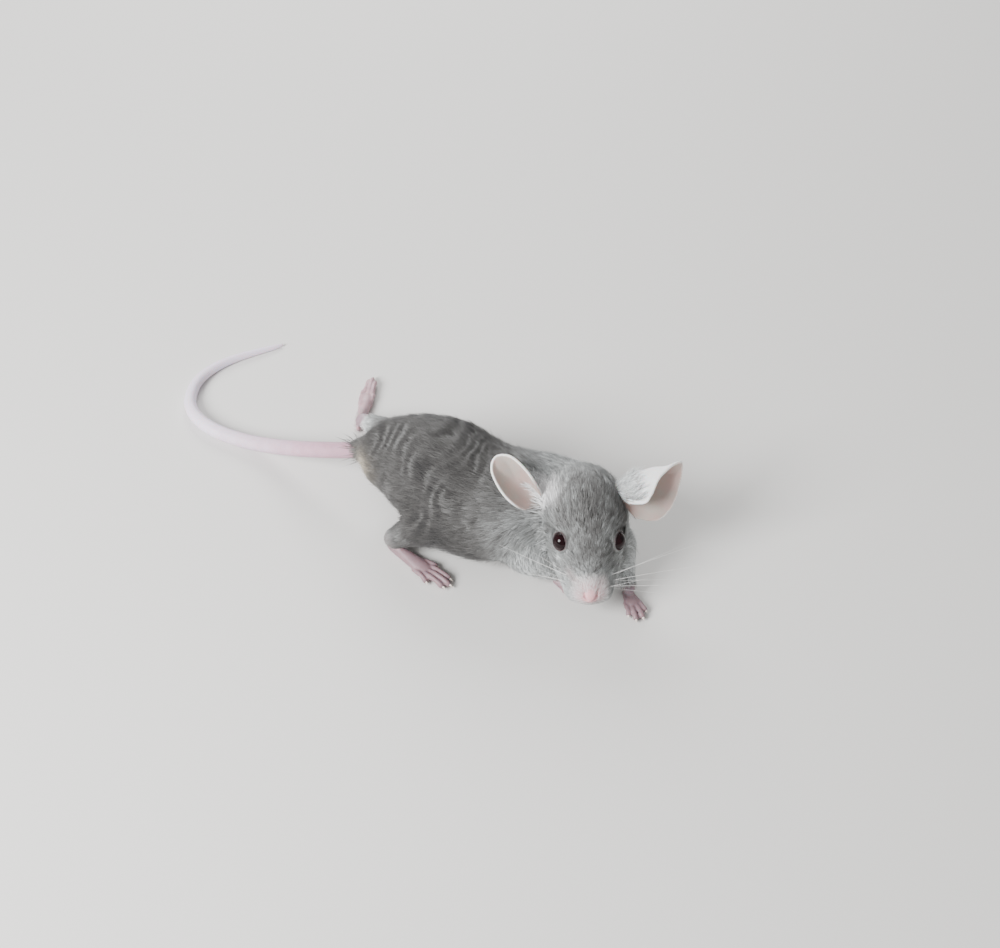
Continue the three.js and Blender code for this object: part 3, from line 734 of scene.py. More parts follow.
class Skin:
    """The skin's mesh with what every vertex needs to know: the coat there and which bare part it is."""

    def __init__(self):
        self.points, self.faces = skin_surface()
        self.normal = normals_of(self.points, self.faces)
        self.edges = edges_of(self.faces)
        self.style, lie = coat_at(self.points)
        outside = flesh(self.points) + self.style[:, 0]
        self.bare = smoothstep(0.2, 0.6, np.abs(outside))
        eyes = [eye_frame(side).translation for side in (1, -1)]
        self.bare *= smoothstep(3.2, 3.6, distance_to(self.points, np.array(eyes))[0])
        self.mark_ears()
        self.mark_tail()
        self.mark_face()
        self.ankle = np.zeros(len(self.points))
        for reach, joints in zip(BARE_ANKLES, LIMBS):
            gap = gap_to(self.points, joints[-1][0])
            self.ankle = np.maximum(self.ankle, smoothstep(reach, 0.6 * reach, gap))
        self.foot = self.bare * (1 - self.ear) * (1 - (self.tail_along > 0)) * (self.points[:, 2] < 7)
        self.mark_down(lie)
        self.lie = self.smooth_lie(lie)
        self.coat = (1 - self.bare) * (1 - self.lid) * (1 - self.nose) * (1 - self.ankle)
        self.coat *= (1 - 0.35 * self.pink) * (1 - self.crease) * (1 - self.before_ear)
        self.coat = np.maximum(self.coat, self.down)
        self.style += (self.down * self.bare)[:, None] * (COATS["down"] - self.style)

    def mark_down(self, lie):
        """Short down runs from the fur onto the backs of the ears, the root of the tail and the ankles."""
        behind = self.ear * (1 - self.ear_front) * smoothstep(0.34, 0.06, self.ear_share)
        behind *= smoothstep(0.6, 1.4, self.rim_gap)
        on_tail = self.tail_along > 0
        root = on_tail * smoothstep(4.5, 1.5, self.tail_along)
        self.down = np.maximum(np.maximum(behind, root), 0.25 * self.ankle) * (self.bare > 0)
        lie[on_tail] = np.array(TAIL_KNOTS[2]) - TAIL_KNOTS[1]
        for ear in EARS:
            beside = (self.ear > 0) & (gap_to(self.points, ear["ridge"][2]) < 13)
            lie[beside] = np.array(ear["ridge"][4]) - ear["ridge"][0]

    def smooth_lie(self, lie, rounds=12):
        for _ in range(rounds):
            lie = lie - self.normal * (lie * self.normal).sum(axis=1, keepdims=True)
            lie = normalized(neighbour_mean(lie, self.edges))
        return lie

    def mark_ears(self):
        for name in ("ear", "ear_rim", "ear_front", "ear_share", "before_ear"):
            setattr(self, name, np.zeros(len(self.points)))
        self.rim_gap = np.full(len(self.points), 9.0)
        bare = np.flatnonzero((self.bare > 0) & (self.points[:, 1] < 4) & (self.points[:, 2] > 13))
        for ear in EARS:
            share, across = leaf_grid(0.02, 0.98, 60, 1, 50)
            leaf = ear_leaf(ear, share, across)
            nearest = nearest_of(self.points[bare], leaf)
            close = np.linalg.norm(self.points[bare] - leaf[nearest], axis=1) < 0.9
            found, nearest = bare[close], nearest[close]
            gap, _ = distance_to(self.points[found], ear_rim(ear, np.linspace(0, 1, 90)))
            self.ear[found] = self.bare[found]
            self.ear_share[found], self.rim_gap[found] = share[nearest], gap
            self.ear_rim[found] = smoothstep(0.45, 0.2, gap) * smoothstep(0.2, 0.4, share[nearest])
            facing = (self.normal[found] * ear_facing(ear, share, across)[nearest]).sum(axis=1)
            self.ear_front[found] = smoothstep(-0.15, 0.15, facing)
            within = (share > 0.03) & (np.abs(across) < 0.9)
            beside, gap, ahead = before_leaf(self.points, ear, share[within], across[within], 14)
            shut = smoothstep(1.7, 1.0, gap) * (ahead > 0.6 * gap)
            self.before_ear[beside] = np.maximum(self.before_ear[beside], shut)
        self.ear = np.maximum(self.ear, self.before_ear)
        self.ear_front = np.maximum(self.ear_front, self.before_ear)

    def mark_tail(self):
        points, radius = tail_line()
        self.tail_along = np.full(len(self.points), -1.0)
        found = np.flatnonzero((self.bare > 0) & (self.points[:, 0] < -22) & (self.ear == 0))
        gap, nearest = distance_to(self.points[found], points)
        tangent = normalized(np.gradient(points, axis=0))[nearest]
        past = ((self.points[found] - points[nearest]) * tangent).sum(axis=1)
        along = lengths_along(points)[nearest] + past
        self.tail_along[found] = np.where(gap < radius[nearest] + 0.5, np.maximum(along, 0.01), -1)

    def mark_face(self):
        self.lid = np.zeros(len(self.points))
        for side in (1, -1):
            x, y, z = moved(self.points, eye_frame(side).inverted()).T
            out = np.hypot(x, y)
            self.lid = np.maximum(self.lid, smoothstep(2.02, 1.86, out) * (z > -1.5) * (z < 1.35))
        x, y, z = moved(self.points, HEAD.inverted()).T
        out = np.linalg.norm(np.stack([(x - 25.3) / 1.9, y / 1.35, (z - 0.5) / 1.7]), axis=0)
        self.nose = smoothstep(1.05, 0.75, out)
        out = np.linalg.norm(np.stack([(x - 23.8) / 3.4, y / 3.6, (z - 0.2) / 3.2]), axis=0)
        self.pink = smoothstep(1.15, 0.6, out)
        self.crease = np.clip(creased(self.points, self.normal)[1] / 0.5, 0, 1)
        on_lip = (np.abs(y) < 5.5) * (x < 27) * (z > -7)
        self.lip = smoothstep(-2.6, -3.6, z) * smoothstep(15, 19, x) * on_lip
        self.head = np.stack([x, y, z], axis=1)


skin = Skin()
print("skin", len(skin.points), "vertices", len(skin.faces), "triangles")


# ---- the coat

EAR_TUFTS = [(13.5, -4.2, 20.6), (14.1, -5.9, 19.9)]  # the white hair between the right ear and the crown
EAR_SHADE = (14.8, -8.9, 18.9)  # the dark spot under it
EAR_ROOT_SHADE = (29.5, -9, 18)  # painted shade in the coat by the left ear's root, where the ear folds against the head
VENT = (-23, 6.5, 14.3)
# Places where the coat is paler, how far each reaches, and by how much; three of them are painted light, as
# marked.
PALE_AND_LIT_PLACES = [
    ((-23.6, 12.6, 15.5), 3.2, 0.32),
    ((-25, 29, 4.4), 5, 0.34),
    # the near shoulder: partly the coat's own paler tone, partly painted light where the hair catches the
    # light
    ((4, -9.5, 15.5), 7, 0.12),
    # the top of the rump: painted light from above
    ((-15, 5.5, 24), 6, 0.08),
    # the left forearm: partly the coat's own pale grey, partly painted light lifting the head's shadow
    ((30.8, -12, 6.5), 5, 0.16),
]
PINK_PLACES = [(20.9, -3.8, 1.4), (22.2, -2.9, 1.6), (22.4, 2.4, 2.0)]  # in the head's frame
BAND_PITCH = 2.9  # mm from crest to crest of the ruffled back
PATCH = 0.003  # across a tuft's patch of the OFBake map
MOST_TUFTS = 19500  # in one piece
LOWEST_TUFT = 0.05  # mm over the floor
GUARD_SHARE = 0.07  # how many tufts are longer and stand out of the coat
# A tuft's points: three round the root, three round the middle, and the tip.
TUFT_FACES = np.array(
    [(0, 1, 4), (0, 4, 3), (1, 2, 5), (1, 5, 4), (2, 0, 3), (2, 3, 5)]
    + [(3, 4, 6), (4, 5, 6), (5, 3, 6), (0, 2, 1)]
)
TUFT_STAGE = [0, 0, 0, 1, 1, 1, 2]
TUFT_ALONG = np.array([-0.8, -0.8, -0.8, 0.1, 0.1, 0.1, 1.0])  # how pale each point is, from root to tip
SHARPNESS = 0.7  # how much a tuft's own shape turns its shading away from the coat's
# Where a tuft's points lie in its patch of the picture, as shares of the patch.
TUFT_PATCH = [(-0.5, -0.5), (0, -0.4), (0.5, -0.5), (-0.5, 0), (0, 0.1), (0.5, 0), (0, 0.5)]


def wobble(points, size, seed):
    """A smooth random value from -1 to 1 that changes over about size mm."""
    made = np.random.default_rng(seed)
    waves = normalized(made.normal(size=(7, 3))) * made.uniform(0.6, 1.5, (7, 1)) * math.pi / size
    return np.sin(points @ waves.T + made.uniform(0, 6.3, 7)).sum(axis=1) / 3.2


def along_spine(points):
    """Millimetres from the tail's root towards the nape, at the nearest place of the backbone."""
    best, value, run = np.full(len(points), 1e9), np.zeros(len(points)), 0
    for a, b in zip(SPINE, SPINE[1:]):
        length = np.linalg.norm(b - a)
        t = np.clip((points - a) @ (b - a) / length**2, 0, 1)
        gap = np.linalg.norm(points - a - t[:, None] * (b - a), axis=1)
        value = np.where(gap < best, run + t * length, value)
        best = np.minimum(best, gap)
        run += length
    return value


def band_strength(points):
    """How much the coat stands in rows across the body: on the rump and back, not low on the sides."""
    patches = 0.15 + 0.85 * smoothstep(-0.3, 0.4, wobble(points, 3.5, 8))
    return window(along_spine(points), 1, 5, 22, 34) * smoothstep(6, 12, points[:, 2]) * patches


def band_phase(points):
    """How many crests of the ruffled back lie between the tail's root and each point."""
    return along_spine(points) / BAND_PITCH + 0.6 * wobble(points, 9, 1) + 0.22 * wobble(points, 3, 2)


def scattered(density, seed):
    """Random places on the skin: their triangles and the shares of the triangles' corners."""
    made = np.random.default_rng(seed)
    corners = skin.points[skin.faces]
    area = np.linalg.norm(np.cross(corners[:, 1] - corners[:, 0], corners[:, 2] - corners[:, 0]), axis=1) / 2
    total = np.cumsum(area * density[skin.faces].mean(axis=1))
    count = int(total[-1])
    chosen = np.searchsorted(total, (np.arange(count) + made.random(count)) * total[-1] / count)
    u, w = np.sqrt(made.random(count)), made.random(count)
    return chosen, np.stack([1 - u, u * (1 - w), u * w], axis=1)


def at_places(values, chosen, shares):
    """Vertex values at places on the skin."""
    return np.einsum("ij,ij...->i...", shares, values[skin.faces[chosen]])


def near(place, reach):
    """1 at a place and less away from it, over the skin."""
    return np.exp(-((gap_to(skin.points, place) / reach) ** 2))


def ear_tuft():
    return np.maximum(*(near(place, 2.4) for place in EAR_TUFTS))


def place_tone():
    """How pale the coat is over the animal, apart from its tufts, with painted shade low down, on the near
    flank and by the ears and painted light in some pale places; and how pink or cream.
    """
    x, y, z = skin.head.T
    p = skin.points
    on_head = smoothstep(-4, 4, x) * (np.abs(y) < 14) * (p[:, 1] < 12)
    stripe = np.exp(-((y / 2.6) ** 2)) * window(x, 2, 8, 18, 22) * smoothstep(-1, 3, z)
    cheek = smoothstep(3.5, 7, np.abs(y)) * smoothstep(2, 8, x) * smoothstep(7, 3, z)
    tone = skin.style[:, 4] + on_head * (0.11 * cheek - 0.14 * stripe)
    tone += 0.24 * skin.pink + 0.16 * skin.lip + 0.05 * wobble(p, 14, 5)
    # Painted shade: the body and legs are darker near the floor.
    tone -= 0.08 * smoothstep(8, 2, p[:, 2]) * (1 - on_head)
    # Darker low on the near flank: partly the coat's own darker grey, partly painted shade.
    tone -= 0.16 * window(p[:, 0], -14, -8, -2, 8) * smoothstep(19, 11, p[:, 2]) * smoothstep(8, 2, p[:, 1])
    tuft, fringe = ear_tuft(), near(VENT, 3)
    nape = smoothstep(24, 38, along_spine(p)) * (1 - on_head) * (skin.bare == 0)
    tone += 0.16 * nape * (0.72 - skin.style[:, 4]) / 0.47 - 0.05 * smoothstep(0.5, 0.3, skin.style[:, 4])
    tone += 0.3 * smoothstep(0, 0.25, skin.ear_share) * skin.bare - 0.03 * on_head
    tone += sum(much * near(place, reach) for place, reach, much in PALE_AND_LIT_PLACES)
    tone += 0.8 * tuft + 0.3 * fringe - 0.2 * near(EAR_ROOT_SHADE, 3.5) - 0.25 * near(EAR_SHADE, 1.2)
    blush = 0.4 * skin.pink * (1 - 0.7 * skin.lip) + 0.4 * skin.ankle + 0.3 * tuft
    blush += 0.35 * sum(near(in_head(*place), 0.8) for place in PINK_PLACES)
    return tone, np.clip(blush, 0, 1), fringe


def in_hollow(points):
    """Which points stand close before an ear's hollow, away from the ear's root."""
    found = np.zeros(len(points), bool)
    for ear in EARS:
        beside, gap, ahead = before_leaf(points, ear, *leaf_grid(0.12, 0.95, 30, 0.85, 24), 12)
        found[beside] |= (gap < 3) & (ahead > 0.5 * gap)
    return found


class Tufts:
    """All the coat's tufts, worked out together: roots, middles, tips and colours."""

    def __init__(self):
        self.chosen, self.shares = scattered(skin.style[:, 3] * skin.coat, 11)
        count = len(self.chosen)
        made = np.random.default_rng(12)
        self.root, lie, style = self.at(skin.points), self.at(skin.lie), self.at(skin.style)
        self.up = normalized(self.at(skin.normal))
        fluff = self.at(ear_tuft())
        depth, length = style[:, 0], style[:, 1] * (1 + 0.3 * fluff)
        lock_tip, lock_rise, lock_tone = self.locks()
        lie = normalized(lie + 0.24 * made.normal(size=(count, 3)))
        free = self.at(skin.bare) > 0.5
        guard = (made.random(count) < GUARD_SHARE) & ~free
        reach = lie * (length * made.uniform(0.7, 1.15, count) * (1 + 0.2 * guard))[:, None]
        lean = np.clip(made.normal(0.55, 0.2, count), 0, 0.9) * (1 - guard) * (1 - free)
        lean = lean[:, None] * (lock_tip - self.root - reach)
        tip, middle = self.root + reach + lean, self.root + 0.5 * reach + 0.3 * lean
        self.ruffle = band_strength(tip)
        offset = 0.07 * made.normal(size=count)
        wave = np.cos(2 * math.pi * (band_phase(tip) + offset))
        rise = 0.92 + 0.11 * made.normal(size=count) + lock_rise + self.ruffle * 0.3 * (wave - 0.5)
        on_nape = smoothstep(20, 32, along_spine(self.root))
        stray = guard * made.uniform(0.1, 0.6, count) * (1 + 0.7 * on_nape)
        rise = np.clip(rise, 0.25, 1.3) + stray + 0.9 * fluff
        lift = self.up * (depth * rise)[:, None]
        tip_low, middle_low = depth * (rise - 1), depth * (np.clip(0.72 * rise, 0.2, 1) - 1)
        self.tip = above(np.where(free[:, None], tip + lift, settle(tip, tip_low)), LOWEST_TUFT)
        middle = np.where(free[:, None], middle + 0.7 * lift, settle(middle, middle_low))
        self.middle = above(middle, LOWEST_TUFT)
        self.shown = np.flatnonzero((fluff > 0.3) | ~(in_hollow(self.tip) | in_hollow(self.root)))
        tone, self.blush, self.cream = (self.at(v) for v in place_tone())
        on_back = smoothstep(2.8, 3.6, length)
        calm = (0.35 + 0.65 * smoothstep(0.8, 1.8, length)) * (1 - 0.6 * free)
        own_tone = (0.065 - 0.015 * on_back) * made.normal(size=count)
        tone += (lock_tone * (1 - 0.45 * on_back) + own_tone) * calm
        fade = 0.12 + 0.04 * smoothstep(1.5, 4, length)
        self.tone = tone[:, None] + fade[:, None] * TUFT_ALONG
        along = np.stack([self.root, self.middle, self.tip], axis=1).reshape(-1, 3)
        self.phase = (band_phase(along).reshape(-1, 3) + offset[:, None])[:, TUFT_STAGE]
        self.width = style[:, 2] * made.uniform(0.75, 1.25, count) * (1 - 0.35 * guard)

    def at(self, values):
        return at_places(values, self.chosen, self.shares)

    def locks(self):
        """The lock that each tuft leans to: its tip, rise and tone."""
        density = skin.coat * (0.8 + 3.5 / np.maximum(skin.style[:, 1], 0.8) ** 1.3)
        chosen, shares = scattered(density, 21)
        made = np.random.default_rng(22)
        centre, lie, style = (at_places(v, chosen, shares) for v in (skin.points, skin.lie, skin.style))
        lie = normalized(lie + 0.16 * made.normal(size=lie.shape))
        tip = centre + lie * style[:, 1:2] * 1.05
        mine = nearest_of(self.root, centre)
        rise, tone = 0.10 * made.normal(size=len(tip)), 0.065 * made.normal(size=len(tip))
        return tip[mine], rise[mine], tone[mine]

    def mesh(self, picked):
        """The points, faces and normals of some of the tufts."""
        root, middle, tip = self.root[picked], self.middle[picked], self.tip[picked]
        up = self.up[picked]
        across = normalized(np.cross(tip - root, up)) * self.width[picked, None] / 2
        lift = up * self.width[picked, None] * 0.28
        root = root - 0.05 * up
        ring = [-across, lift, across]
        stages = [root + 0.7 * side for side in ring] + [middle + side for side in ring] + [tip]
        points = np.stack(stages, axis=1)
        faces = (np.arange(len(root))[:, None, None] * 7 + TUFT_FACES).reshape(-1, 3)
        sides = np.stack([normalized(side) for side in ring * 2] + [up], axis=1)
        normals = normalized(sides * SHARPNESS + up[:, None])
        return points.reshape(-1, 3), faces, normals.reshape(-1, 3)


def unwrapped(piece):
    """The corners' places on an unwrap of a piece's own shape."""
    bpy.context.view_layer.objects.active = piece
    piece.select_set(True)
    bpy.ops.object.mode_set(mode="EDIT")
    bpy.ops.mesh.select_all(action="SELECT")
    bpy.ops.uv.smart_project(angle_limit=math.radians(66), island_margin=0.002)
    bpy.ops.object.mode_set(mode="OBJECT")
    piece.select_set(False)
    uv = np.empty(len(piece.data.loops) * 2, np.float32)
    piece.data.uv_layers.active.data.foreach_get("uv", uv)
    return uv.reshape(-1, 3, 2)


def give(mesh, name, values):
    mesh.attributes.new(name, "FLOAT", "POINT").data.foreach_set("value", np.asarray(values, np.float32))


def coat_pieces(tufts, unwrap):
    """The tufts as meshes: head, trunk and legs, each in as many as its number of tufts needs."""
    nearest = np.stack([mass.distance(tufts.root) for mass in MASSES]).argmin(axis=0)
    trunk, last_head = len(trunk_masses()), len(MASSES) - len(limb_masses())
    zone = np.select([nearest < trunk, nearest < last_head], [0, 1], 2)
    root_uv = np.einsum("ij,ijk->ik", tufts.shares, unwrap[tufts.chosen])
    for number, name in enumerate(("trunk", "head", "legs")):
        members = tufts.shown[zone[tufts.shown] == number]
        members = members[np.argsort(tufts.root[members] @ vec(1, -0.6, 0))]
        for part, picked in enumerate(np.array_split(members, math.ceil(len(members) / MOST_TUFTS)), 1):
            points, faces, normals = tufts.mesh(picked)
            piece = new_piece(f"coat_{name}_{part}", (points, faces), COAT)
            piece.data.normals_split_custom_set_from_vertices(normals)
            for value in ("tone", "phase", "ruffle", "blush", "cream"):
                values = getattr(tufts, value)[picked]
                give(piece.data, value, values.ravel() if values.ndim > 1 else np.repeat(values, 7))
            uv = (root_uv[picked][:, None] + PATCH * np.array(TUFT_PATCH))[:, TUFT_FACES]
            piece.data.uv_layers.new(name="OFBake").data.foreach_set("uv", uv.astype(np.float32).ravel())


# ---- materials


class Shader:
    """A material's nodes, made by short calls that return sockets."""

    def __init__(self, name, roughness=0.5, **sockets):
        self.material = bpy.data.materials.new(name)
        self.material.use_nodes = True
        self.tree = self.material.node_tree
        self.surface = self.tree.nodes["Principled BSDF"]
        self.surface.inputs["Roughness"].default_value = roughness
        for socket, value in sockets.items():
            self.surface.inputs[socket.replace("_", " ")].default_value = value

    def node(self, kind, **inputs):
        made = self.tree.nodes.new(kind)
        for name, value in inputs.items():
            self.set(made.inputs[name.replace("_", " ")], value)
        return made

    def set(self, socket, value):
        if isinstance(value, bpy.types.NodeSocket):
            self.tree.links.new(value, socket)
        elif isinstance(value, tuple) and len(value) == 3 and socket.type == "RGBA":
            socket.default_value = (*value, 1)
        else:
            socket.default_value = value

    def value(self, name):
        made = self.node("ShaderNodeAttribute")
        made.attribute_name = name
        return made.outputs["Fac"]

    def math(self, operation, a, b=0.0, c=0.0):
        made = self.node("ShaderNodeMath")
        made.operation = operation
        for socket, value in zip(made.inputs, (a, b, c)):
            self.set(socket, value)
        return made.outputs[0]

    def noise(self, size, detail=3.0, roughness=0.5):
        """Noise over about size mm."""
        place = self.node("ShaderNodeTexCoord").outputs["Object"]
        made = self.node("ShaderNodeTexNoise", Vector=place, Scale=1000 / size, Detail=detail)
        made.inputs["Roughness"].default_value = roughness
        return made.outputs["Fac"]

    def ramp(self, factor, *stops):
        made = self.node("ShaderNodeValToRGB", Fac=factor)
        elements = made.color_ramp.elements
        while len(elements) < len(stops):
            elements.new(0.5)
        for element, (position, colour) in zip(elements, stops):
            element.position = position
            element.color = (*colour, 1)
        return made.outputs["Color"]

    def mix(self, factor, a, b):
        made = self.tree.nodes.new("ShaderNodeMix")
        made.data_type = "RGBA"
        for socket, value in zip([made.inputs[i] for i in (0, 6, 7)], (factor, a, b)):
            self.set(socket, value)
        return made.outputs[2]

    def bump(self, height, strength, distance):
        made = self.node("ShaderNodeBump", Height=height, Strength=strength, Distance=distance / 1000)
        self.set(self.surface.inputs["Normal"], made.outputs["Normal"])

    def colour(self, value):
        self.set(self.surface.inputs["Base Color"], value)


COAT_STOPS = [
    (0.0, (0.0205, 0.0195, 0.0195)),
    (0.25, (0.053, 0.0505, 0.049)),
    (0.5, (0.132, 0.130, 0.127)),
    (0.75, (0.325, 0.338, 0.335)),
    (1.0, (0.83, 0.86, 0.86)),
]


def coat_material():
    made = Shader("coat", 0.65, Specular_IOR_Level=0.3, Sheen_Weight=0.2, Sheen_Roughness=0.5)
    # The ruffled back's crests are painted paler and its hollows darker: painted light and shade along the
    # bands, over their raised relief.
    wave = made.math("COSINE", made.math("MULTIPLY", made.value("phase"), 2 * math.pi))
    crest = made.math("POWER", made.math("MULTIPLY_ADD", wave, 0.5, 0.5), 2)
    ruffle_shading = made.math("MULTIPLY", made.math("MULTIPLY_ADD", crest, 1, -0.375), made.value("ruffle"))
    ruffle_shading = made.math("MULTIPLY", ruffle_shading, 0.33)
    shade = made.math("ADD", ruffle_shading, made.value("tone"))
    shade = made.math("MULTIPLY_ADD", made.noise(2.5), 0.12, made.math("ADD", shade, -0.06))
    grey = made.ramp(shade, *COAT_STOPS)
    pink = made.mix(made.value("blush"), grey, (0.80, 0.60, 0.60))
    made.colour(made.mix(made.math("MULTIPLY", made.value("cream"), 0.6), pink, (0.70, 0.60, 0.45)))
    return made.material


def skin_material():
    made = Shader("skin", 0.5, Subsurface_Weight=0.25, Subsurface_Scale=0.001)
    made.surface.inputs["Subsurface Radius"].default_value = (1.0, 0.45, 0.3)
    speckle = made.noise(1.6, 4)
    under = made.ramp(made.math("MULTIPLY_ADD", speckle, 0.1, made.value("tone")), *COAT_STOPS)

    def speckled(dark, pale):
        return made.ramp(speckle, (0.3, dark), (0.7, pale))

    ankle = speckled((0.24, 0.17, 0.20), (0.38, 0.28, 0.32))
    flesh_pink = speckled((0.60, 0.30, 0.33), (0.78, 0.48, 0.50))
    foot = speckled((0.36, 0.22, 0.25), (0.52, 0.36, 0.39))
    # Painted shade: the feet on the near side, all but the left hind foot, are darkened.
    foot = made.mix(made.value("painted_foot_shade"), foot, (0.20, 0.128, 0.145))
    along = made.math("MULTIPLY_ADD", made.value("tail_along"), 1 / TAIL_LENGTH, -0.08)
    along = made.math("MULTIPLY_ADD", speckle, 0.16, along)
    tail = made.ramp(along, (0.0, (0.34, 0.19, 0.23)), (0.25, (0.55, 0.34, 0.43)), (0.6, (0.80, 0.72, 0.84)))
    hollow = made.ramp(made.noise(3.5, 3), (0.35, (0.42, 0.37, 0.33)), (0.65, (0.46, 0.34, 0.31)))
    ear_back = speckled((0.78, 0.77, 0.77), (0.86, 0.86, 0.86))
    ear = made.mix(made.value("ear_front"), ear_back, hollow)
    ear = made.mix(made.value("ear_rim"), ear, (0.92, 0.90, 0.87))
    parts = dict(pink=flesh_pink, foot=foot, ankle=ankle, tail=tail, ear=ear, nose=flesh_pink)
    colour = under
    # Creases in the face get a dark colour: painted shade in the nostrils and along the lip and mouth lines.
    for name, over in dict(parts, crease=(0.20, 0.07, 0.08), lid=(0.03, 0.015, 0.018)).items():
        colour = made.mix(made.value(name), colour, over)
    made.colour(colour)
    rings = made.math("SINE", made.math("MULTIPLY", made.value("tail_along"), 2 * math.pi / 0.5))
    height = made.math("MULTIPLY", rings, made.value("tail"))
    made.bump(made.math("ADD", height, made.math("MULTIPLY", made.noise(0.35, 2), 1.2)), 0.35, 0.05)
    return made.material


def clouded(name, roughness, size, *stops, specular=0.5):
    """A material whose colour wanders between its stops over about size mm."""
    made = Shader(name, roughness, Specular_IOR_Level=specular)
    made.colour(made.ramp(made.noise(size, 2), *stops))
    return made.material


COAT = coat_material()
EYE = clouded("eye", 0.06, 1.2, (0.35, (0.004, 0.001, 0.0015)), (0.75, (0.014, 0.0025, 0.004)), specular=0.2)
CLAW = clouded("claw", 0.3, 0.5, (0.3, (0.62, 0.52, 0.46)), (0.7, (0.80, 0.72, 0.66)))
WHISKER = clouded("whisker", 0.35, 2.0, (0.3, (0.80, 0.79, 0.77)), (0.7, (0.92, 0.91, 0.89)))

# ---- building

body = new_piece("skin", (skin.points, skin.faces), skin_material())
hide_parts(*FLESH_NODES, *BARE_NODES)
marks = {
    "tone": place_tone()[0] - 0.12,
    "pink": np.maximum(skin.pink, skin.bare),
    "ankle": skin.ankle * (1 - skin.foot),
    # painted shade on every foot but the left hind one
    "painted_foot_shade": 0.75 * (skin.points[:, 1] < 12),
    "tail": skin.tail_along > 0,
}
for name in ("foot", "tail_along", "ear", "ear_front", "ear_rim", "nose", "lid", "crease"):
    marks[name] = getattr(skin, name)
for name, values in marks.items():
    give(body.data, name, values)

tufts = Tufts()
print("tufts", len(tufts.shown))
coat_pieces(tufts, unwrapped(body))


# ---- eyes, claws and whiskers


def ball_mesh(radius, rings=40, sides=56):
    """A ball about the origin with its poles on z."""
    turn = np.linspace(0.02, math.pi - 0.02, rings)
    centres = np.stack([0 * turn, 0 * turn, -np.cos(turn) * radius], axis=1)
    return tube(centres, np.sin(turn) * radius, sides=sides, up=(0, 1, 0))


for side, name in ((1, "left"), (-1, "right")):
    points, faces = triangulated(*ball_mesh(EYE_RADIUS))
    eye = new_piece(f"eyeball_{name}", (moved(points, eye_frame(side)), faces), EYE)
    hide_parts(f"eye_{name}")

for name, foot in FEET.items():
    pieces = []
    for toe in HIND_TOES if foot["hind"] else FORE_TOES:
        share = np.linspace(0, 1, 12)
        centres = toe_path(toe, foot["spread"], 1 - CLAW_SHARE * (1 - share) * 0.85)
        centres[:, 2] += 0.22 * np.sin(share * math.pi) * (1 - 0.4 * share) + 0.1
        points, faces = triangulated(*tube(centres, 0.27 * (1 - share) ** 0.7 + 0.03, sides=10))
        points = above(moved(points, foot_frame(foot)), 0.02)
        pieces.append((points, faces[:, ::-1] if foot["mirror"] < 0 else faces))
    new_piece(f"claws_{name}", joined(pieces), CLAW)

# Whiskers in the head's frame: root, which way each goes, its length, and its radius at the root.
WHISKERS = [
    ((21.0, -3.9, 0.4), (-0.36, -0.84, 0.10), 16, 0.075),
    ((21.6, -4.1, -1.2), (-0.30, -0.90, 0.05), 9, 0.07),
    ((20.4, -4.2, -0.3), (-0.50, -0.82, 0.15), 13, 0.035),
    ((21.9, -4.1, -0.3), (-0.20, -0.95, 0.20), 11, 0.035),
    ((20.9, -4.2, -2.0), (-0.40, -0.88, -0.10), 10, 0.035),
    ((22.6, -3.7, 0.1), (-0.05, -0.90, 0.35), 7, 0.03),
    ((20.8, 4.2, 0.4), (-0.30, 0.92, 0.22), 22, 0.04),
    ((21.6, 4.2, -0.3), (-0.15, 0.97, 0.15), 20, 0.04),
    ((20.6, 4.3, -1.0), (-0.35, 0.90, 0.05), 18, 0.035),
    ((22.4, 4.0, -0.9), (0.00, 0.98, 0.10), 18, 0.035),
    ((21.0, 4.3, -1.7), (-0.05, 0.98, -0.10), 18, 0.035),
    ((22.0, 4.0, -2.4), (0.08, 0.98, -0.20), 15, 0.035),
    ((23.0, 3.6, 0.0), (-0.10, 0.90, 0.38), 9, 0.03),
]


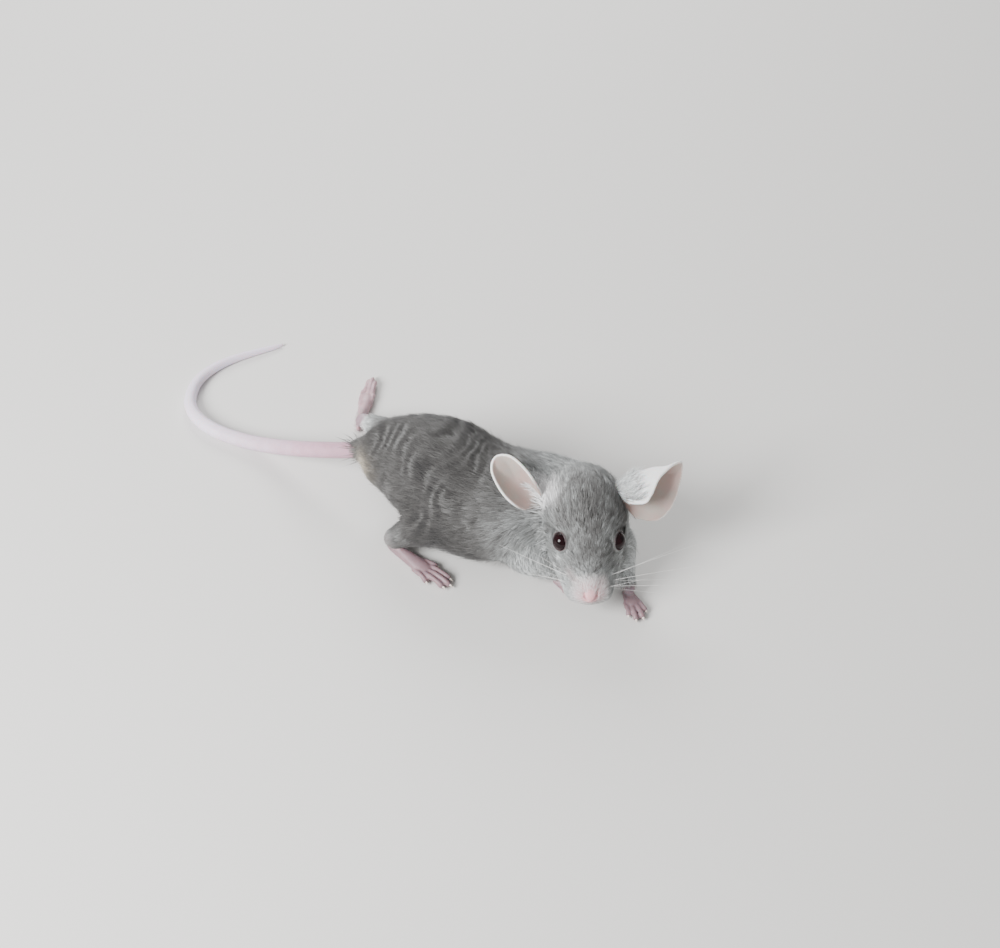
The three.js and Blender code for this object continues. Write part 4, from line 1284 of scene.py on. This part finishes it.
def whiskers():
    made = np.random.default_rng(31)
    share = np.linspace(0, 1, 22)
    for (x, y, z), way, length, radius in WHISKERS:
        direction = normalized(np.array(HEAD.to_3x3() @ Vector(way)))
        centres = in_head(x, 0.8 * y, z) + share[:, None] * direction * length
        centres[:, 2] += made.uniform(-1.5, 0.5) * share**2
        points, faces = triangulated(*tube(centres, radius * (1 - 0.85 * share), sides=5))
        yield above(points, 0.1), faces


new_piece("whiskers", joined(whiskers()), WHISKER)


# ---- camera, floor and light

AIM = Vector((4.35, 19.6, 0))
CAMERA_ELEVATION, CAMERA_DISTANCE, CAMERA_LENS = 47, 360, 59.6  # degrees, mm, mm


def facing(name, data, place, way):
    """A camera or a lamp at a place, in metres, that faces a certain way."""
    made = added(name, data)
    made.location = place
    made.rotation_mode = "QUATERNION"
    made.rotation_quaternion = Vector(way).to_track_quat("-Z", "Y")
    return made


angle = math.radians(CAMERA_ELEVATION)
back = Vector((0, -math.cos(angle), math.sin(angle)))
eye_point = (np.array(AIM + CAMERA_DISTANCE * back) + SHIFT) / 1000
camera = facing("camera", bpy.data.cameras.new("camera"), eye_point, -back)
camera.data.sensor_width, camera.data.lens, camera.data.clip_start = 36, CAMERA_LENS, 0.01
bpy.context.scene.camera = camera


def lamp(name, size, power, place):
    """A round lamp, in metres and watts, that faces the middle of the floor."""
    data = bpy.data.lights.new(name, "AREA")
    data.shape, data.size, data.energy = "DISK", size, power
    facing(name, data, place, -Vector(place))


lamp("key", 0.26, 6.0, (-0.33, -0.26, 0.30))
lamp("back", 0.30, 2.5, (-0.05, 0.45, 0.30))
world = bpy.data.worlds.new("world")
world.use_nodes = True
for socket, value in (("Color", (1, 1, 1, 1)), ("Strength", 0.55)):
    world.node_tree.nodes["Background"].inputs[socket].default_value = value
bpy.context.scene.world = world

FLOOR_HALF = 900  # mm
paper = Shader("floor", 0.8)
paper.colour((0.72, 0.71, 0.69))
corners = [(x * FLOOR_HALF, y * FLOOR_HALF, 0) for x, y in ((-1, -1), (1, -1), (1, 1), (-1, 1))]
new_object("floor", corners - SHIFT * (1, 1, 0), [(0, 1, 2, 3)], paper.material)
